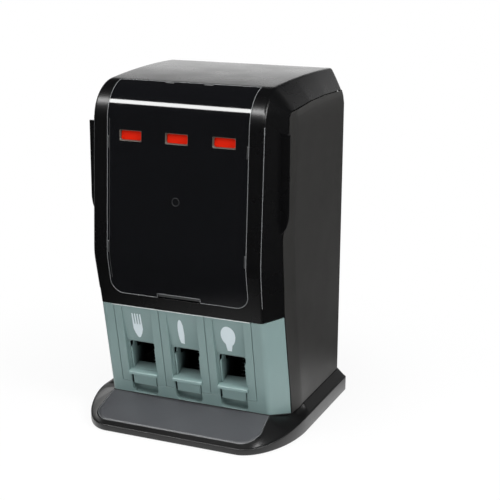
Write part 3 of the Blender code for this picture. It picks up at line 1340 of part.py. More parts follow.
def lane_bezel(name, x):
    """One lane's front plate with its label recess and throat."""
    half = LANE_PITCH / 2 - GAP
    top = (FASCIA_TOP_HEIGHT - SEAT_HEIGHT) / math.cos(TILT) - SMALL_BREAK
    low = (x - half, 0, WINDOW_FOOT_RISE + GAP)
    item = box("lane_bezel_" + name, low, (x + half, BEZEL_THICKNESS, top), SAGE, FASCIA_FRAME)
    low = (x - BLOCK_HALF_WIDTH, BEZEL_THICKNESS / 2, CHANNEL_FOOT_RISE)
    high = (x + BLOCK_HALF_WIDTH, BLOCK_DEPTH, CHANNEL_TOP_RISE + SMALL_BREAK)
    join(item, box("bezel_block_" + name, low, high, None, FASCIA_FRAME))
    recess = (
        (-OVERRUN, CHANNEL_FOOT_RISE),
        (CHANNEL_DEPTH, CHANNEL_FOOT_RISE),
        (CHANNEL_DEPTH, LABEL_FOOT_RISE - SMALL_BREAK),
        (LABEL_FOOT_DEPTH, LABEL_FOOT_RISE),
        (LABEL_TOP_DEPTH, CHANNEL_TOP_RISE),
        (-OVERRUN, CHANNEL_TOP_RISE),
    )
    low, high = x - CHANNEL_HALF_WIDTH, x + CHANNEL_HALF_WIDTH
    cut(item, slab("recess_" + name, recess, "X", low, high, None, FASCIA_FRAME))
    outline = rounded_outline(
        (x - THROAT_HALF_WIDTH, WINDOW_FOOT_RISE - OVERRUN),
        (x + THROAT_HALF_WIDTH, THROAT_TOP_RISE),
        THROAT_CORNER,
        4,
        (False, True, True, False),
    )
    cut(item, slab("throat_" + name, outline, "Y", -OVERRUN, BLOCK_DEPTH + OVERRUN, None, FASCIA_FRAME))


def chute(name, x):
    """One lane's chute: a proud lip, a climbing floor and two cheeks."""
    foot = CHANNEL_FOOT_RISE + GAP
    top = foot + LIP_HEIGHT
    seat = CHANNEL_DEPTH - GAP
    back = CHUTE_DEPTH
    climb = top + CHUTE_CLIMB
    lip = (
        (-LIP_PROUD, foot),
        (-LIP_PROUD, top - SMALL_BREAK),
        (-LIP_PROUD + SMALL_BREAK, top),
        (seat, top + SMALL_BREAK),
        (seat, foot),
    )
    half = LIP_HALF_WIDTH
    item = slab("chute_" + name, lip, "X", x - half, x + half, SAGE, FASCIA_FRAME)
    floor = (
        (seat - SMALL_BREAK, top - CHUTE_FLOOR),
        (back - SMALL_BREAK, climb - CHUTE_FLOOR),
        (back - SMALL_BREAK, climb),
        (seat - SMALL_BREAK, top + SMALL_BREAK / 2),
    )
    half = CHUTE_HALF_WIDTH - CHUTE_WALL / 2
    join(item, slab("chute_floor_" + name, floor, "X", x - half, x + half, None, FASCIA_FRAME))
    half = CHUTE_HALF_WIDTH
    cheek = (
        (seat + SMALL_BREAK, top - SMALL_BREAK),
        (back, climb - CHUTE_FLOOR - SMALL_BREAK),
        (back, CHUTE_WALL_REAR_RISE),
        (seat + CHUTE_NOTCH_RUN, CHUTE_WALL_REAR_RISE - SMALL_BREAK),
        (seat + CHUTE_NOTCH_RUN * 0.6, CHUTE_WALL_FRONT_RISE + SMALL_BREAK),
        (seat + SMALL_BREAK, CHUTE_WALL_FRONT_RISE),
    )
    for side, sign in (("left", -1), ("right", 1)):
        low, high = sorted((x + sign * half, x + sign * (half - CHUTE_WALL)))
        join(item, slab("cheek_%s_%s" % (name, side), cheek, "X", low, high, None, FASCIA_FRAME))


def flank(radius, share, base, half_angle):
    """Half the angle that a gear tooth fills at a radius: an involute flank."""
    turn = math.acos(min(1.0, base / radius))
    pitch = math.tan(PRESSURE_ANGLE) - PRESSURE_ANGLE
    return half_angle + share * (pitch - (math.tan(turn) - turn))


def sector_outline():
    """Outline, in Y and Z, of the toothed sector that stands up from the axle."""
    base = SECTOR_RADIUS * math.cos(PRESSURE_ANGLE)
    root = SECTOR_RADIUS - DEDENDUM_SHARE * GEAR_MODULE
    tip = SECTOR_RADIUS + ADDENDUM_SHARE * GEAR_MODULE
    pitch = GEAR_MODULE * math.pi / SECTOR_RADIUS
    half_angle = (GEAR_MODULE * math.pi / 2 - BACKLASH) / 2 / SECTOR_RADIUS
    start = max(root + GAP, base)
    radii = span(start, tip, FLANK_STEPS)
    points = []
    for tooth in range(SECTOR_TEETH):
        middle = -tooth * pitch
        points.append((middle + flank(start, 1, base, half_angle), root))
        points += [(middle + flank(radius, 1, base, half_angle), radius) for radius in radii]
        points += [(middle - flank(radius, 1, base, half_angle), radius) for radius in reversed(radii)]
        points.append((middle - flank(start, 1, base, half_angle), root))
    rim = [(-turn_radius(turn, radius)[0], turn_radius(turn, radius)[1]) for turn, radius in points]
    hub_left = (-BOSS_RADIUS * 0.6, 0)
    hub_right = (BOSS_RADIUS * 0.9, 0)
    return [(AXLE.y + y, AXLE.z + z) for y, z in [*rim, hub_right, hub_left]]


def turn_radius(turn, radius):
    """A point at a turn from straight up, towards the front when positive."""
    return radius * math.sin(turn), radius * math.cos(turn)


def lever(name, x):
    """One lever: press tab, arm, boss, spring tail and toothed sector."""
    pivot = FASCIA_FRAME.inverted() @ AXLE
    tab = (
        (TAB_DEPTH, TAB_FOOT_RISE + SMALL_BREAK),
        (TAB_DEPTH + SMALL_BREAK, TAB_FOOT_RISE),
        (TAB_DEPTH + TAB_THICKNESS, TAB_FOOT_RISE),
        (TAB_DEPTH + TAB_THICKNESS, TAB_TOP_RISE),
        (TAB_DEPTH + SMALL_BREAK, TAB_TOP_RISE),
        (TAB_DEPTH, TAB_TOP_RISE - SMALL_BREAK),
    )
    half = TAB_HALF_WIDTH
    item = slab("lever_" + name, tab, "X", x - half, x + half, SAGE, FASCIA_FRAME)
    arm = (
        (TAB_DEPTH + TAB_THICKNESS - SMALL_BREAK, ARM_FOOT_RISE),
        (pivot.y, ARM_FOOT_RISE),
        (pivot.y, ARM_FOOT_RISE + ARM_HEIGHT),
        (TAB_DEPTH + TAB_THICKNESS - SMALL_BREAK, ARM_FOOT_RISE + ARM_HEIGHT),
    )
    half = ARM_HALF_WIDTH
    join(item, slab("lever_arm_" + name, arm, "X", x - half, x + half, None, FASCIA_FRAME))
    end = x + SECTOR_OFFSET + SECTOR_THICKNESS / 2
    boss_start = x - TAB_HALF_WIDTH + SMALL_BREAK
    join(item, rod("lever_boss_" + name, "X", AXLE, BOSS_RADIUS, boss_start, end + SMALL_BREAK))
    start = end - SECTOR_THICKNESS
    join(item, slab("sector_" + name, sector_outline(), "X", start, end))
    low = (x - TAIL_HALF_WIDTH, AXLE.y, AXLE.z + TAIL_RISE - TAIL_THICKNESS)
    high = (x + TAIL_HALF_WIDTH, AXLE.y + TAIL_LENGTH + TAIL_REACH, AXLE.z + TAIL_RISE)
    join(item, box("lever_tail_" + name, low, high))
    bore = AXLE_RADIUS + GAP
    cut(item, rod("lever_bore_" + name, "X", AXLE, bore, x - LANE_PITCH / 2, x + LANE_PITCH / 2))
    origin_to(item, (x, AXLE.y, AXLE.z))


def lever_spring(name, x):
    """One return spring between the lever's tail and the deck, wound as one unbroken wire."""
    low = AXLE.z + TAIL_RISE + GAP + SPRING_WIRE / 2
    high = DECK_FOOT - GAP - SPRING_WIRE / 2
    count = SPRING_CURLS * SPRING_CURL_POINTS
    points = []
    for k in range(count + 1):
        turn = 2 * math.pi * k / SPRING_CURL_POINTS
        share = k / count
        settled = eased((share - 1 / SPRING_CURLS) / (1 - 2 / SPRING_CURLS)) * 0.12 + share * 0.88
        z = low + (high - low) * settled
        points.append(Vector((SPRING_RADIUS * math.cos(turn), SPRING_RADIUS * math.sin(turn), z)))
    curve = bpy.data.curves.new("lever_spring_" + name, "CURVE")
    curve.dimensions = "3D"
    curve.bevel_depth = SPRING_WIRE / 2
    curve.bevel_resolution = 1
    curve.use_fill_caps = True
    line = curve.splines.new("POLY")
    line.points.add(count)
    for point, place_at in zip(line.points, points):
        point.co = (x + place_at.x, AXLE.y + TAIL_LENGTH + place_at.y, place_at.z, 1)
    item = bpy.data.objects.new("lever_spring_" + name, curve)
    PARTS.objects.link(item)
    curve.materials.append(STEEL)
    gaps = [
        (points[i] - points[j]).length - SPRING_WIRE
        for i in range(len(points))
        for j in range(i + SPRING_CURL_POINTS - 1, len(points))
    ]
    print("least gap in lever_spring_%s: %.2f mm" % (name, min(gaps) / 0.001))


def rack_outline():
    """Outline, in Y and Z, of the rack under a shuttle; it has a gap over the axle at rest."""
    pitch = GEAR_MODULE * math.pi
    line = AXLE.z + SECTOR_RADIUS
    root = line + DEDENDUM_SHARE * GEAR_MODULE
    tip = line - ADDENDUM_SHARE * GEAR_MODULE
    lean = math.tan(PRESSURE_ANGLE)
    half = (pitch / 2 - BACKLASH) / 2
    root_half = half + (root - line) * lean
    tip_half = half - (line - tip) * lean
    points = []
    for tooth in range(RACK_TEETH):
        middle = AXLE.y + (tooth - 0.5) * pitch
        points.append((middle - root_half, root))
        points.append((middle - tip_half, tip))
        points.append((middle + tip_half, tip))
        points.append((middle + root_half, root))
    first, last = points[0][0], points[-1][0]
    top = DECK_TOP + GAP + SHUTTLE_THICKNESS * RACK_EMBED_SHARE
    return [*points, (last + SMALL_BREAK, root), (last + SMALL_BREAK, top), (first - SMALL_BREAK, top),
            (first - SMALL_BREAK, root)]


def shuttle(name, x):
    """One sliding plate with its rack in front and its pusher step at the rear."""
    half = LANE_PITCH / 2 - DIVIDER_THICKNESS / 2 - 2 * GAP
    low = DECK_TOP + GAP
    front = FRONT + SHUTTLE_FRONT_SETBACK
    rear = FRONT + SHUTTLE_REAR_SETBACK
    item = box("shuttle_" + name, (x - half, front, low), (x + half, rear, low + SHUTTLE_THICKNESS), ACETAL)
    start = x + SECTOR_OFFSET - SECTOR_THICKNESS / 2
    join(item, slab("rack_" + name, rack_outline(), "X", start, start + SECTOR_THICKNESS))
    step = (x - half / 2, rear - PUSHER_THICKNESS, low + SHUTTLE_THICKNESS / 2)
    join(item, box("pusher_" + name, step, (x + half / 2, rear - SMALL_BREAK, low + PUSHER_HEIGHT)))
    origin_to(item, (x, rear, low))


def deck_outline():
    """Plan of the deck, notched at each lane for the chute and for the rack."""
    narrow = LANE_PITCH * 1.5 + DECK_FRONT_OVERHANG
    wide = BODY_HALF_WIDTH - WALL - GAP
    front = FRONT + DECK_FRONT_SETBACK
    middle = FRONT + DECK_WIDE_SETBACK
    rear = FRONT + BODY_REAR_SETBACK - BODY_REAR_RADIUS - GAP
    points = [(-narrow, front)]
    for _, x in LANES:
        slot = x + SECTOR_OFFSET - SECTOR_THICKNESS / 2 - SLOT_SIDE_CLEARANCE
        slot_end = x + SECTOR_OFFSET + SECTOR_THICKNESS / 2 + SLOT_SIDE_CLEARANCE
        notch = FRONT + CHUTE_NOTCH_SETBACK
        slot_rear = FRONT + SLOT_REAR_SETBACK
        points += [(x - CHUTE_NOTCH_HALF, front), (x - CHUTE_NOTCH_HALF, notch), (slot, notch)]
        points += [(slot, slot_rear), (slot_end, slot_rear), (slot_end, front)]
    return [*points, (narrow, front), (narrow, middle), (wide, middle), (wide, rear), (-wide, rear),
            (-wide, middle), (-narrow, middle)]


def chassis_deck():
    """The deck under the magazines, with the ears that carry the lever axle."""
    deck = slab("chassis_deck", deck_outline(), "Z", DECK_FOOT, DECK_TOP, INNER)
    for index, x in enumerate(LANE_EDGES):
        low = (x - EAR_THICKNESS / 2, AXLE.y - EAR_FRONT_REACH, AXLE.z - EAR_DROP)
        high = (x + EAR_THICKNESS / 2, AXLE.y + EAR_REAR_REACH, DECK_FOOT + DECK_THICKNESS / 2)
        join(deck, box("axle_ear_%d" % index, low, high))
    run = LANE_EDGES[-1] + EAR_THICKNESS
    cut(deck, rod("axle_bore", "X", AXLE, AXLE_RADIUS + GAP, -run, run))
    run = LANE_EDGES[-1] + EAR_THICKNESS / 2
    rod("lever_axle", "X", AXLE, AXLE_RADIUS, -run, run, STEEL)


def magazine():
    """Four upright dividers and the back plate of the three magazines."""
    low = DECK_TOP + GAP
    rear = FRONT + DIVIDER_REAR_SETBACK
    front = FRONT + DIVIDER_FRONT_SETBACK
    for index, x in enumerate(LANE_EDGES, 1):
        start = (x - DIVIDER_THICKNESS / 2, front, low)
        box("lane_divider_%d" % index, start, (x + DIVIDER_THICKNESS / 2, rear, DIVIDER_TOP), INNER)
    half = LANE_EDGES[-1] + DIVIDER_THICKNESS / 2
    start = (-half, rear + GAP, low)
    box("magazine_back", start, (half, rear + GAP + DIVIDER_THICKNESS, DIVIDER_TOP), INNER)


def label_frame(x):
    """The plane of one lane's sloping label, its origin at the middle of the label's foot."""
    lean = math.atan2(LABEL_FOOT_DEPTH - LABEL_TOP_DEPTH, CHANNEL_TOP_RISE - LABEL_FOOT_RISE)
    foot = Matrix.Translation((x, LABEL_FOOT_DEPTH, LABEL_FOOT_RISE))
    return FASCIA_FRAME @ foot @ Matrix.Rotation(lean, 4, "X")


def fork_outline():
    """A fork pictogram: four tines over a tapering root."""
    half = FORK_WIDTH / 2
    top = ICON_HEIGHT / 2
    slot = FORK_WIDTH / 11
    tine = (FORK_WIDTH - 3 * slot) / 4
    crotch = top * 0.12
    points = []
    for k in range(4):
        left = -half + k * (tine + slot)
        points += [(left, crotch if k else crotch), (left + tine * 0.15, top), (left + tine * 0.85, top)]
        points.append((left + tine, crotch))
    points += [(half, -top * 0.28), (half * 0.72, -top * 0.62), (half * 0.3, -top * 0.93), (0, -top)]
    points += [(-half * 0.3, -top * 0.93), (-half * 0.72, -top * 0.62), (-half, -top * 0.28)]
    return points


def knife_outline():
    """A knife pictogram: a blade with one straight and one bowed edge."""
    top = ICON_HEIGHT / 2
    half = KNIFE_WIDTH / 2
    bowed = [(-half * math.sin(turn) ** 0.8, top * math.cos(turn)) for turn in span(0.02, math.pi - 0.35, 12)]
    straight = [(half * 0.55, -top * 0.98), (half * 0.85, -top * 0.2), (half * 0.75, top * 0.5), (half * 0.35, top * 0.9)]
    return bowed + straight


def spoon_outline():
    """A spoon pictogram: an egg-shaped bowl over a short stem."""
    top = ICON_HEIGHT / 2
    half = SPOON_WIDTH / 2
    drop = top * 0.24
    bowl = []
    for turn in span(math.radians(-62), math.radians(242), 20):
        reach = half * (1 - 0.10 * (1 - math.sin(turn)) / 2)
        bowl.append((reach * math.cos(turn), drop + (top - drop) * math.sin(turn) * (1 if turn > 0 else 1.15)))
    stem = [(-half * 0.27, -top), (half * 0.27, -top)]
    return bowl + stem


def icons():
    """Three raised pictograms on the labels."""
    outlines = {"fork": fork_outline(), "knife": knife_outline(), "spoon": spoon_outline()}
    for name, x in LANES:
        outline = [(across, up + ICON_MIDDLE_RISE) for across, up in outlines[name]]
        slab("icon_" + name, outline, "Y", -ICON_GAP - ICON_THICKNESS, -ICON_GAP, PALE, label_frame(x))


def build():
    base_tray()
    side_panels()
    rear_panel()
    front_hood()
    front_door()
    door_latch()
    indicator_flags()
    fascia()
    chassis_deck()
    magazine()
    for name, x in LANES:
        lane_bezel(name, x)
        chute(name, x)
        lever(name, x)
        lever_spring(name, x)
        shuttle(name, x)
    icons()


build()
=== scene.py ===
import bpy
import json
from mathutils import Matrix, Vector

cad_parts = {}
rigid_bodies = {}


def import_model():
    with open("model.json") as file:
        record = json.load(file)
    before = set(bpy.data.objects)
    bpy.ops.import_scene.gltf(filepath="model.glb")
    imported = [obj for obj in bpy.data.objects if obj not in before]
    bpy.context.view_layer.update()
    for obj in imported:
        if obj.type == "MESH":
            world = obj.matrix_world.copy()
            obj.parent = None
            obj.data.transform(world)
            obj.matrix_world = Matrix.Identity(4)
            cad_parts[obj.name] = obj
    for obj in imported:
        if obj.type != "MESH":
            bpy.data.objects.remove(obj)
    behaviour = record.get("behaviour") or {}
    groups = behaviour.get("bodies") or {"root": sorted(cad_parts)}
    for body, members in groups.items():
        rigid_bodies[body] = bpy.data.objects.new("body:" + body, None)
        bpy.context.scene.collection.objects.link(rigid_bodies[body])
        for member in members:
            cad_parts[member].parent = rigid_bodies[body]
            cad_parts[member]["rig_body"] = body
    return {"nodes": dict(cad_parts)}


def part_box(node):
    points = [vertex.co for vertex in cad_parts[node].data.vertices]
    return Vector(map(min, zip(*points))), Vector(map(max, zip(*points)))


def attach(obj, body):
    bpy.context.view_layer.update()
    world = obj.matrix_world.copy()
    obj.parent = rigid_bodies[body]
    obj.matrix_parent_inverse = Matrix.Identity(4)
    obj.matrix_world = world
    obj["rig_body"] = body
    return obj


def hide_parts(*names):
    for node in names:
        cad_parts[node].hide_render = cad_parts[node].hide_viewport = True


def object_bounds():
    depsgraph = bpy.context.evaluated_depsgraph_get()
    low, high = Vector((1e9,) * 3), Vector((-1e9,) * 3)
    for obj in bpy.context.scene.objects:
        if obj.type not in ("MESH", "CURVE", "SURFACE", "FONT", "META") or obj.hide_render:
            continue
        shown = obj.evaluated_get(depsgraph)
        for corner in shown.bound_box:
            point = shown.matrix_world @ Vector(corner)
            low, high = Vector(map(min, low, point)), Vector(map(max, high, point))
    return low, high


bl_info = {
    "name": "Cutlery dispenser",
    "version": (1, 0, 0),
    "blender": (4, 5, 0),
    "location": "View3D > Sidebar > Dispenser",
    "description": "Builds the shells, fronts, levers, finishes and studio of a countertop cutlery dispenser",
    "category": "Object",
}

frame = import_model()

import json
import math

import bmesh
import bpy
import numpy as np
from bpy.props import FloatProperty, FloatVectorProperty, IntProperty, PointerProperty
from mathutils import Vector

CAD_BOX = [list(corner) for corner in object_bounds()]
MM = 0.001
MICRON = 0.001 * MM
TINY = 0.001 * MM
SAME = 1e-9
LANES = (("fork", -1), ("knife", 0), ("spoon", 1))
SIDES = (("left", -1), ("right", 1))
LANE_PITCH = 62.8 * MM
WINDOW_PITCH = 61.7 * MM

# The body: setbacks are counted from the base's front, insets from the side panels' widest place

FRONT = CAD_BOX[0][1]
BASE_DEPTH = CAD_BOX[1][1] - FRONT
HALF_BASE = CAD_BOX[1][0]
HEIGHT = CAD_BOX[1][2]
HALF_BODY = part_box("side_panel_right")[1].x
SEAT = 32 * MM
FOOT_Y = 62.5 * MM
BROW_Y, BROW_Z, BROW_RADIUS = 22.8 * MM, 228 * MM, 80 * MM
KNEE_Y, KNEE_RADIUS = 33.9 * MM, 46 * MM
CROWN_START = 75.5 * MM
CROWN_PEAK = BASE_DEPTH - 79.2 * MM
CROWN_REACH = CROWN_PEAK - CROWN_START
CROWN_FALL = 4 * MM
BODY_REAR = BASE_DEPTH - 7.4 * MM
REAR_RADIUS = 5.5 * MM
FLARE = 18 * MM
HOOD_FOOT, FASCIA_TOP = 160.1 * MM, 159.5 * MM
FACE_INSET_LOW, FACE_INSET, FACE_INSET_TOP = 23.8 * MM, 22.1 * MM, 24.3 * MM
EDGE_INSET, EDGE_GROWTH = 9.3 * MM, 3.5 * MM
TOP_INSET = 4.8 * MM
SEAM_RADIUS, SEAM_LEAD, SEAM_GAP = 8 * MM, 8 * MM, 0.6 * MM

# The door: its opening, windows, dimple, pull notch and hinge lugs

OPENING_HALF, OPENING_FOOT, OPENING_REAR = 93.9 * MM, 176.2 * MM, 70.6 * MM
DOOR_REAR = OPENING_REAR - 2 * MM
WINDOW_HALF, WINDOW_HALF_HEIGHT, WINDOW_Z = 15 * MM, 6.75 * MM, 377.5 * MM
DIMPLE_Z = 302 * MM
NOTCH_HALF, NOTCH_TOP = 29 * MM, 181.9 * MM
HINGE_Y, HINGE_Z = -63.5 * MM, 437.948 * MM
LUG_X, LUG_HALF, LUG_GAP, LUG_NOTCH = 26 * MM, 5.7 * MM, 0.7 * MM, 3 * MM


# Sizes and colours that a user would change

class DispenserSizes(bpy.types.PropertyGroup):
    wall: FloatProperty(
        name="Wall", description="Thickness of the moulded shells", default=2.6 * MM, unit="LENGTH")
    door_wall: FloatProperty(
        name="Door wall", description="Thickness of the door", default=3.2 * MM, unit="LENGTH")
    edge: FloatProperty(
        name="Shell edge", description="Rounding of the shells' edges", default=0.9 * MM, unit="LENGTH")
    door_edge: FloatProperty(
        name="Door edge", description="Rounding of the door's edges", default=1.25 * MM, unit="LENGTH")
    small_edge: FloatProperty(
        name="Small edge", description="Rounding of the fronts' edges", default=0.5 * MM, unit="LENGTH")
    fine_edge: FloatProperty(
        name="Fine edge", description="Rounding of the chutes' and levers' edges",
        default=0.3 * MM, unit="LENGTH")
    door_corner: FloatProperty(
        name="Door corner", description="Radius of the door's lower corners", default=17 * MM, unit="LENGTH")
    door_gap: FloatProperty(
        name="Door gap", description="Gap round the door", default=1.0 * MM, unit="LENGTH")
    corner_soft: FloatProperty(
        name="Face corner", description="Rounding between front and flank", default=3.0 * MM, unit="LENGTH")
    rim_bead: FloatProperty(
        name="Rim bead", description="Half the width of the bead round the ledge",
        default=0.8 * MM, unit="LENGTH")
    fineness: IntProperty(
        name="Fineness", description="Grid lines for each curved stretch", default=24, min=8, max=60)


class DispenserColours(bpy.types.PropertyGroup):
    gloss: FloatVectorProperty(
        name="Door", description="Gloss black of the door", default=(0.0042, 0.0044, 0.0052), subtype="COLOR")
    satin: FloatVectorProperty(
        name="Hood", description="Satin black of the hood", default=(0.0025, 0.0025, 0.0028), subtype="COLOR")
    side: FloatVectorProperty(
        name="Side panels", description="Textured grey of the sides",
        default=(0.0235, 0.0228, 0.0214), subtype="COLOR")
    base: FloatVectorProperty(
        name="Base", description="Textured black of the base",
        default=(0.0032, 0.0032, 0.0034), subtype="COLOR")
    ledge: FloatVectorProperty(
        name="Ledge", description="Slate grey of the ledge", default=(0.064, 0.066, 0.072), subtype="COLOR")
    sage: FloatVectorProperty(
        name="Fronts", description="Sage green of the lower front",
        default=(0.185, 0.268, 0.262), subtype="COLOR")
    # Painted highlight colour: it stands for light caught on the edges of the black and sage mouldings.
    edge: FloatVectorProperty(
        name="Painted edge highlights", description="Painted highlights along the moulding edges",
        default=(0.17, 0.175, 0.18), subtype="COLOR")
    # Painted highlight colour of the fascia's upper edge.
    painted_pale_highlight: FloatVectorProperty(
        name="Fascia edge", description="Painted highlight along the fascia's upper edge",
        default=(0.55, 0.59, 0.59), subtype="COLOR")
    # Painted light colour of the window frames' bevels.
    window: FloatVectorProperty(
        name="Window frames", description="Painted light brown of the window frames",
        default=(0.075, 0.065, 0.052), subtype="COLOR")
    sign: FloatVectorProperty(
        name="Signs", description="Pale grey of the printed signs",
        default=(0.60, 0.68, 0.71), subtype="COLOR")
    flag: FloatVectorProperty(
        name="Flags", description="Red of the low-stock flags",
        default=(0.74, 0.014, 0.0006), subtype="COLOR")
    inner: FloatVectorProperty(
        name="Inner parts", description="Natural black of the inner parts",
        default=(0.012, 0.012, 0.012), subtype="COLOR")
    slide: FloatVectorProperty(
        name="Shuttles", description="White of the sliding plates",
        default=(0.68, 0.68, 0.66), subtype="COLOR")
    steel: FloatVectorProperty(
        name="Steel", description="Bright zinc of pins and screws",
        default=(0.55, 0.55, 0.56), subtype="COLOR")
    rubber: FloatVectorProperty(
        name="Feet", description="Black of the rubber feet", default=(0.012, 0.012, 0.012), subtype="COLOR")


def sizes():
    """The sizes that the user has set."""
    return bpy.context.scene.dispenser_sizes


def colours():
    """The colours that the user has set."""
    return bpy.context.scene.dispenser_colours


# Curves that the shells share, in metres, worked on whole arrays

def smooth(t):
    """Three t squared less two t cubed, held between 0 and 1."""
    t = np.clip(t, 0, 1)
    return t * t * (3 - 2 * t)


def fillet(before, corner, after, radius, steps):
    """Points on the arc that rounds a corner: centre plus radius times the cosine and sine of an even turn."""
    back = (before - corner) / np.linalg.norm(before - corner)
    ahead = (after - corner) / np.linalg.norm(after - corner)
    half = math.acos(np.clip(back @ ahead, -1, 1)) / 2
    middle = (back + ahead) / np.linalg.norm(back + ahead)
    centre = corner + middle * radius / math.sin(half)
    start = corner + back * radius / math.tan(half) - centre
    sign = -1 if back[0] * ahead[1] - back[1] * ahead[0] > 0 else 1
    turn = sign * np.linspace(0, math.pi - 2 * half, steps)
    c, s = np.cos(turn), np.sin(turn)
    return np.stack([centre[0] + c * start[0] - s * start[1], centre[1] + s * start[0] + c * start[1]], 1)


def crown(y):
    """Height of the top's middle line: the peak less the crown's fall times the square of the way from it."""
    return HEIGHT - CROWN_FALL * ((y - CROWN_PEAK) / CROWN_REACH) ** 2


def side_profile():
    """The front's side view: two straight runs and the crown's tangent, joined by a fillet each.

    Gives the foot's point, the brow's arc and the shoulder's arc as setbacks and heights."""
    slope = 2 * CROWN_FALL / CROWN_REACH
    top = crown(CROWN_START)
    knee = (KNEE_Y, top - slope * (CROWN_START - KNEE_Y))
    corners = np.array([(FOOT_Y, SEAT), (BROW_Y, BROW_Z), knee, (CROWN_START, top)])
    return corners[0], fillet(*corners[:3], BROW_RADIUS, 25), fillet(*corners[1:], KNEE_RADIUS, 49)


PROFILE_FOOT, BROW, SHOULDER = side_profile()
FRONT_LINE = np.vstack([[PROFILE_FOOT], BROW, SHOULDER])
SHOULDER_Z = SHOULDER[0, 1]

# Heights and setbacks of the side panel's front edge, then setbacks and heights of the seam under the top

EDGE_LINE = MM * np.array([
    (0, 107), (27.1, 100.9), (95.1, 85.1), (164.9, 70), (209.8, 66.05),
    (260, 60.2), (309.8, 63.9), (412, 69), (445, 70)])
SEAM_LINE = MM * np.array([
    (66, 412.05), (79.3, 412.95), (100.9, 414.4), (136.1, 416.8),
    (190.2, 417.5), (248.3, 415.8), (264.2, 415.6)])


def face_y(z):
    """Setback of the front face at a height, read along the profile."""
    return np.interp(z, FRONT_LINE[:, 1], FRONT_LINE[:, 0])


def on_face(x, z, lift=0.0):
    """Points on the front face at given places across and heights, lifted off it by a distance."""
    return np.stack([x, FRONT + face_y(z) - lift, z], -1)


def edge_xy(z):
    """Half-width and setback of the side panel's front edge at a height."""
    half = HALF_BODY - EDGE_INSET + EDGE_GROWTH * smooth((z - BROW_Z) / (SHOULDER_Z - BROW_Z))
    return half, np.interp(z, EDGE_LINE[:, 0], EDGE_LINE[:, 1])


def seam_z(y):
    """Height of the seam under the top at a setback."""
    return np.interp(y, SEAM_LINE[:, 0], SEAM_LINE[:, 1])


def face_half(z):
    """Half-width of the front face at a height: it widens evenly from the fascia's top to the brow."""
    return HALF_BODY - np.interp(z, (FASCIA_TOP, BROW_Z), (FACE_INSET_LOW, FACE_INSET))


def seam_corner(share, low_y, low_z, end_y):
    """Setback, height and turn along the seam's upper corner: a rise, a quarter turn, then the top seam."""
    top = seam_z(low_y + SEAM_RADIUS)
    rise = top - SEAM_RADIUS - low_z
    bend = SEAM_RADIUS * math.pi / 2
    run = share * (rise + bend + end_y - low_y - SEAM_RADIUS)
    turn = np.clip((run - rise) / SEAM_RADIUS, 0, math.pi / 2)
    level = np.clip(run - rise - bend, 0, None)
    y = low_y + SEAM_RADIUS * (1 - np.cos(turn)) + level
    z = np.where(run <= rise, low_z + run, top - SEAM_RADIUS * (1 - np.sin(turn)))
    return y, np.where(level > 0, seam_z(y), z), turn


# A row of the hood holds the face line's setback and height, its half-width, the seam's half-width, setback
# and height, the seam's turn from upright to level, and the share of the flank's bulge

def front_rows(z):
    """Rows of the hood at heights up its front, out to the side panel's edge."""
    half, edge = edge_xy(z)
    return np.stack([face_y(z), z, face_half(z), half, edge, z, 0 * z, 0 * z], 1)


def shoulder_rows():
    """Rows of the hood along the shoulder's arc: the half-widths change with the arc's share."""
    share = np.linspace(0, 1, len(SHOULDER))
    low_half, low_y = edge_xy(SHOULDER_Z)
    y, z, turn = seam_corner(share, low_y, SHOULDER_Z, CROWN_START + SEAM_LEAD)
    half = HALF_BODY - FACE_INSET + (FACE_INSET - FACE_INSET_TOP) * smooth(share)
    outer = low_half + (HALF_BODY - TOP_INSET - low_half) * share
    return np.stack([*SHOULDER.T, half, outer, y, z, turn, np.minimum(1, 3 * share)], 1)


def top_rows(steps):
    """Rows of the hood along its top: the seam's lead dies away by the square of the way left."""
    y = np.linspace(CROWN_START, BODY_REAR - REAR_RADIUS, steps)[1:]
    share = (y - CROWN_START) / (BODY_REAR - CROWN_START)
    half = HALF_BODY - FACE_INSET_TOP + 6.1 * MM * share
    seam_y = y + SEAM_LEAD * (1 - share) ** 2
    one = np.ones_like(y)
    outer, turn = (HALF_BODY - TOP_INSET) * one, math.pi / 2 * one
    return np.stack([y, crown(y), half, outer, seam_y, seam_z(seam_y), turn, one], 1)


def stations(steps):
    """All rows of the hood from its foot to its rear."""
    marks = EDGE_LINE[(EDGE_LINE[:, 0] > HOOD_FOOT) & (EDGE_LINE[:, 0] < SHOULDER_Z), 0]
    low, high = np.linspace(HOOD_FOOT, BROW[0, 1], steps // 2), np.linspace(BROW[-1, 1], SHOULDER_Z, steps)
    front = np.unique(np.concatenate([low, BROW[:, 1], high, marks]))
    return np.vstack([front_rows(front), shoulder_rows()[1:], top_rows(2 * steps)])


def across(rows, flats, soft, steps):
    """Sections of the hood as an array of rows by columns by three.

    Each is level out to the flat lines, a quadratic curve round the corner, then straight to the seam with a
    bulge of two u times one less u."""
    y, z, half, outer, seam_y, seam_h, turn, share = rows.T
    middle = np.stack([np.zeros_like(y), FRONT + y, z], 1)[:, None]
    corner = np.stack([half, FRONT + y, z], 1)[:, None]
    seam = np.stack([outer, FRONT + seam_y, seam_h], 1)[:, None]
    down = seam - corner
    down /= np.linalg.norm(down, axis=2, keepdims=True)
    start, end = corner - np.array([soft, 0, 0]), corner + down * soft
    t = np.linspace(0, 1, steps)[None, :, None]
    bend = start * (1 - t) ** 2 + corner * 2 * t * (1 - t) + end * t**2
    flat = np.repeat(middle, len(flats), 1)
    flat[:, :, 0] = flats[None]
    u = t[:, 1:]
    bulge = 1.6 * MM * share[:, None] * np.stack([np.zeros_like(y), -np.cos(turn), np.sin(turn)], 1)
    strip = end * (1 - u) + seam * u + bulge[:, None] * 2 * u * (1 - u)
    return np.concatenate([flat, bend, strip], 1)


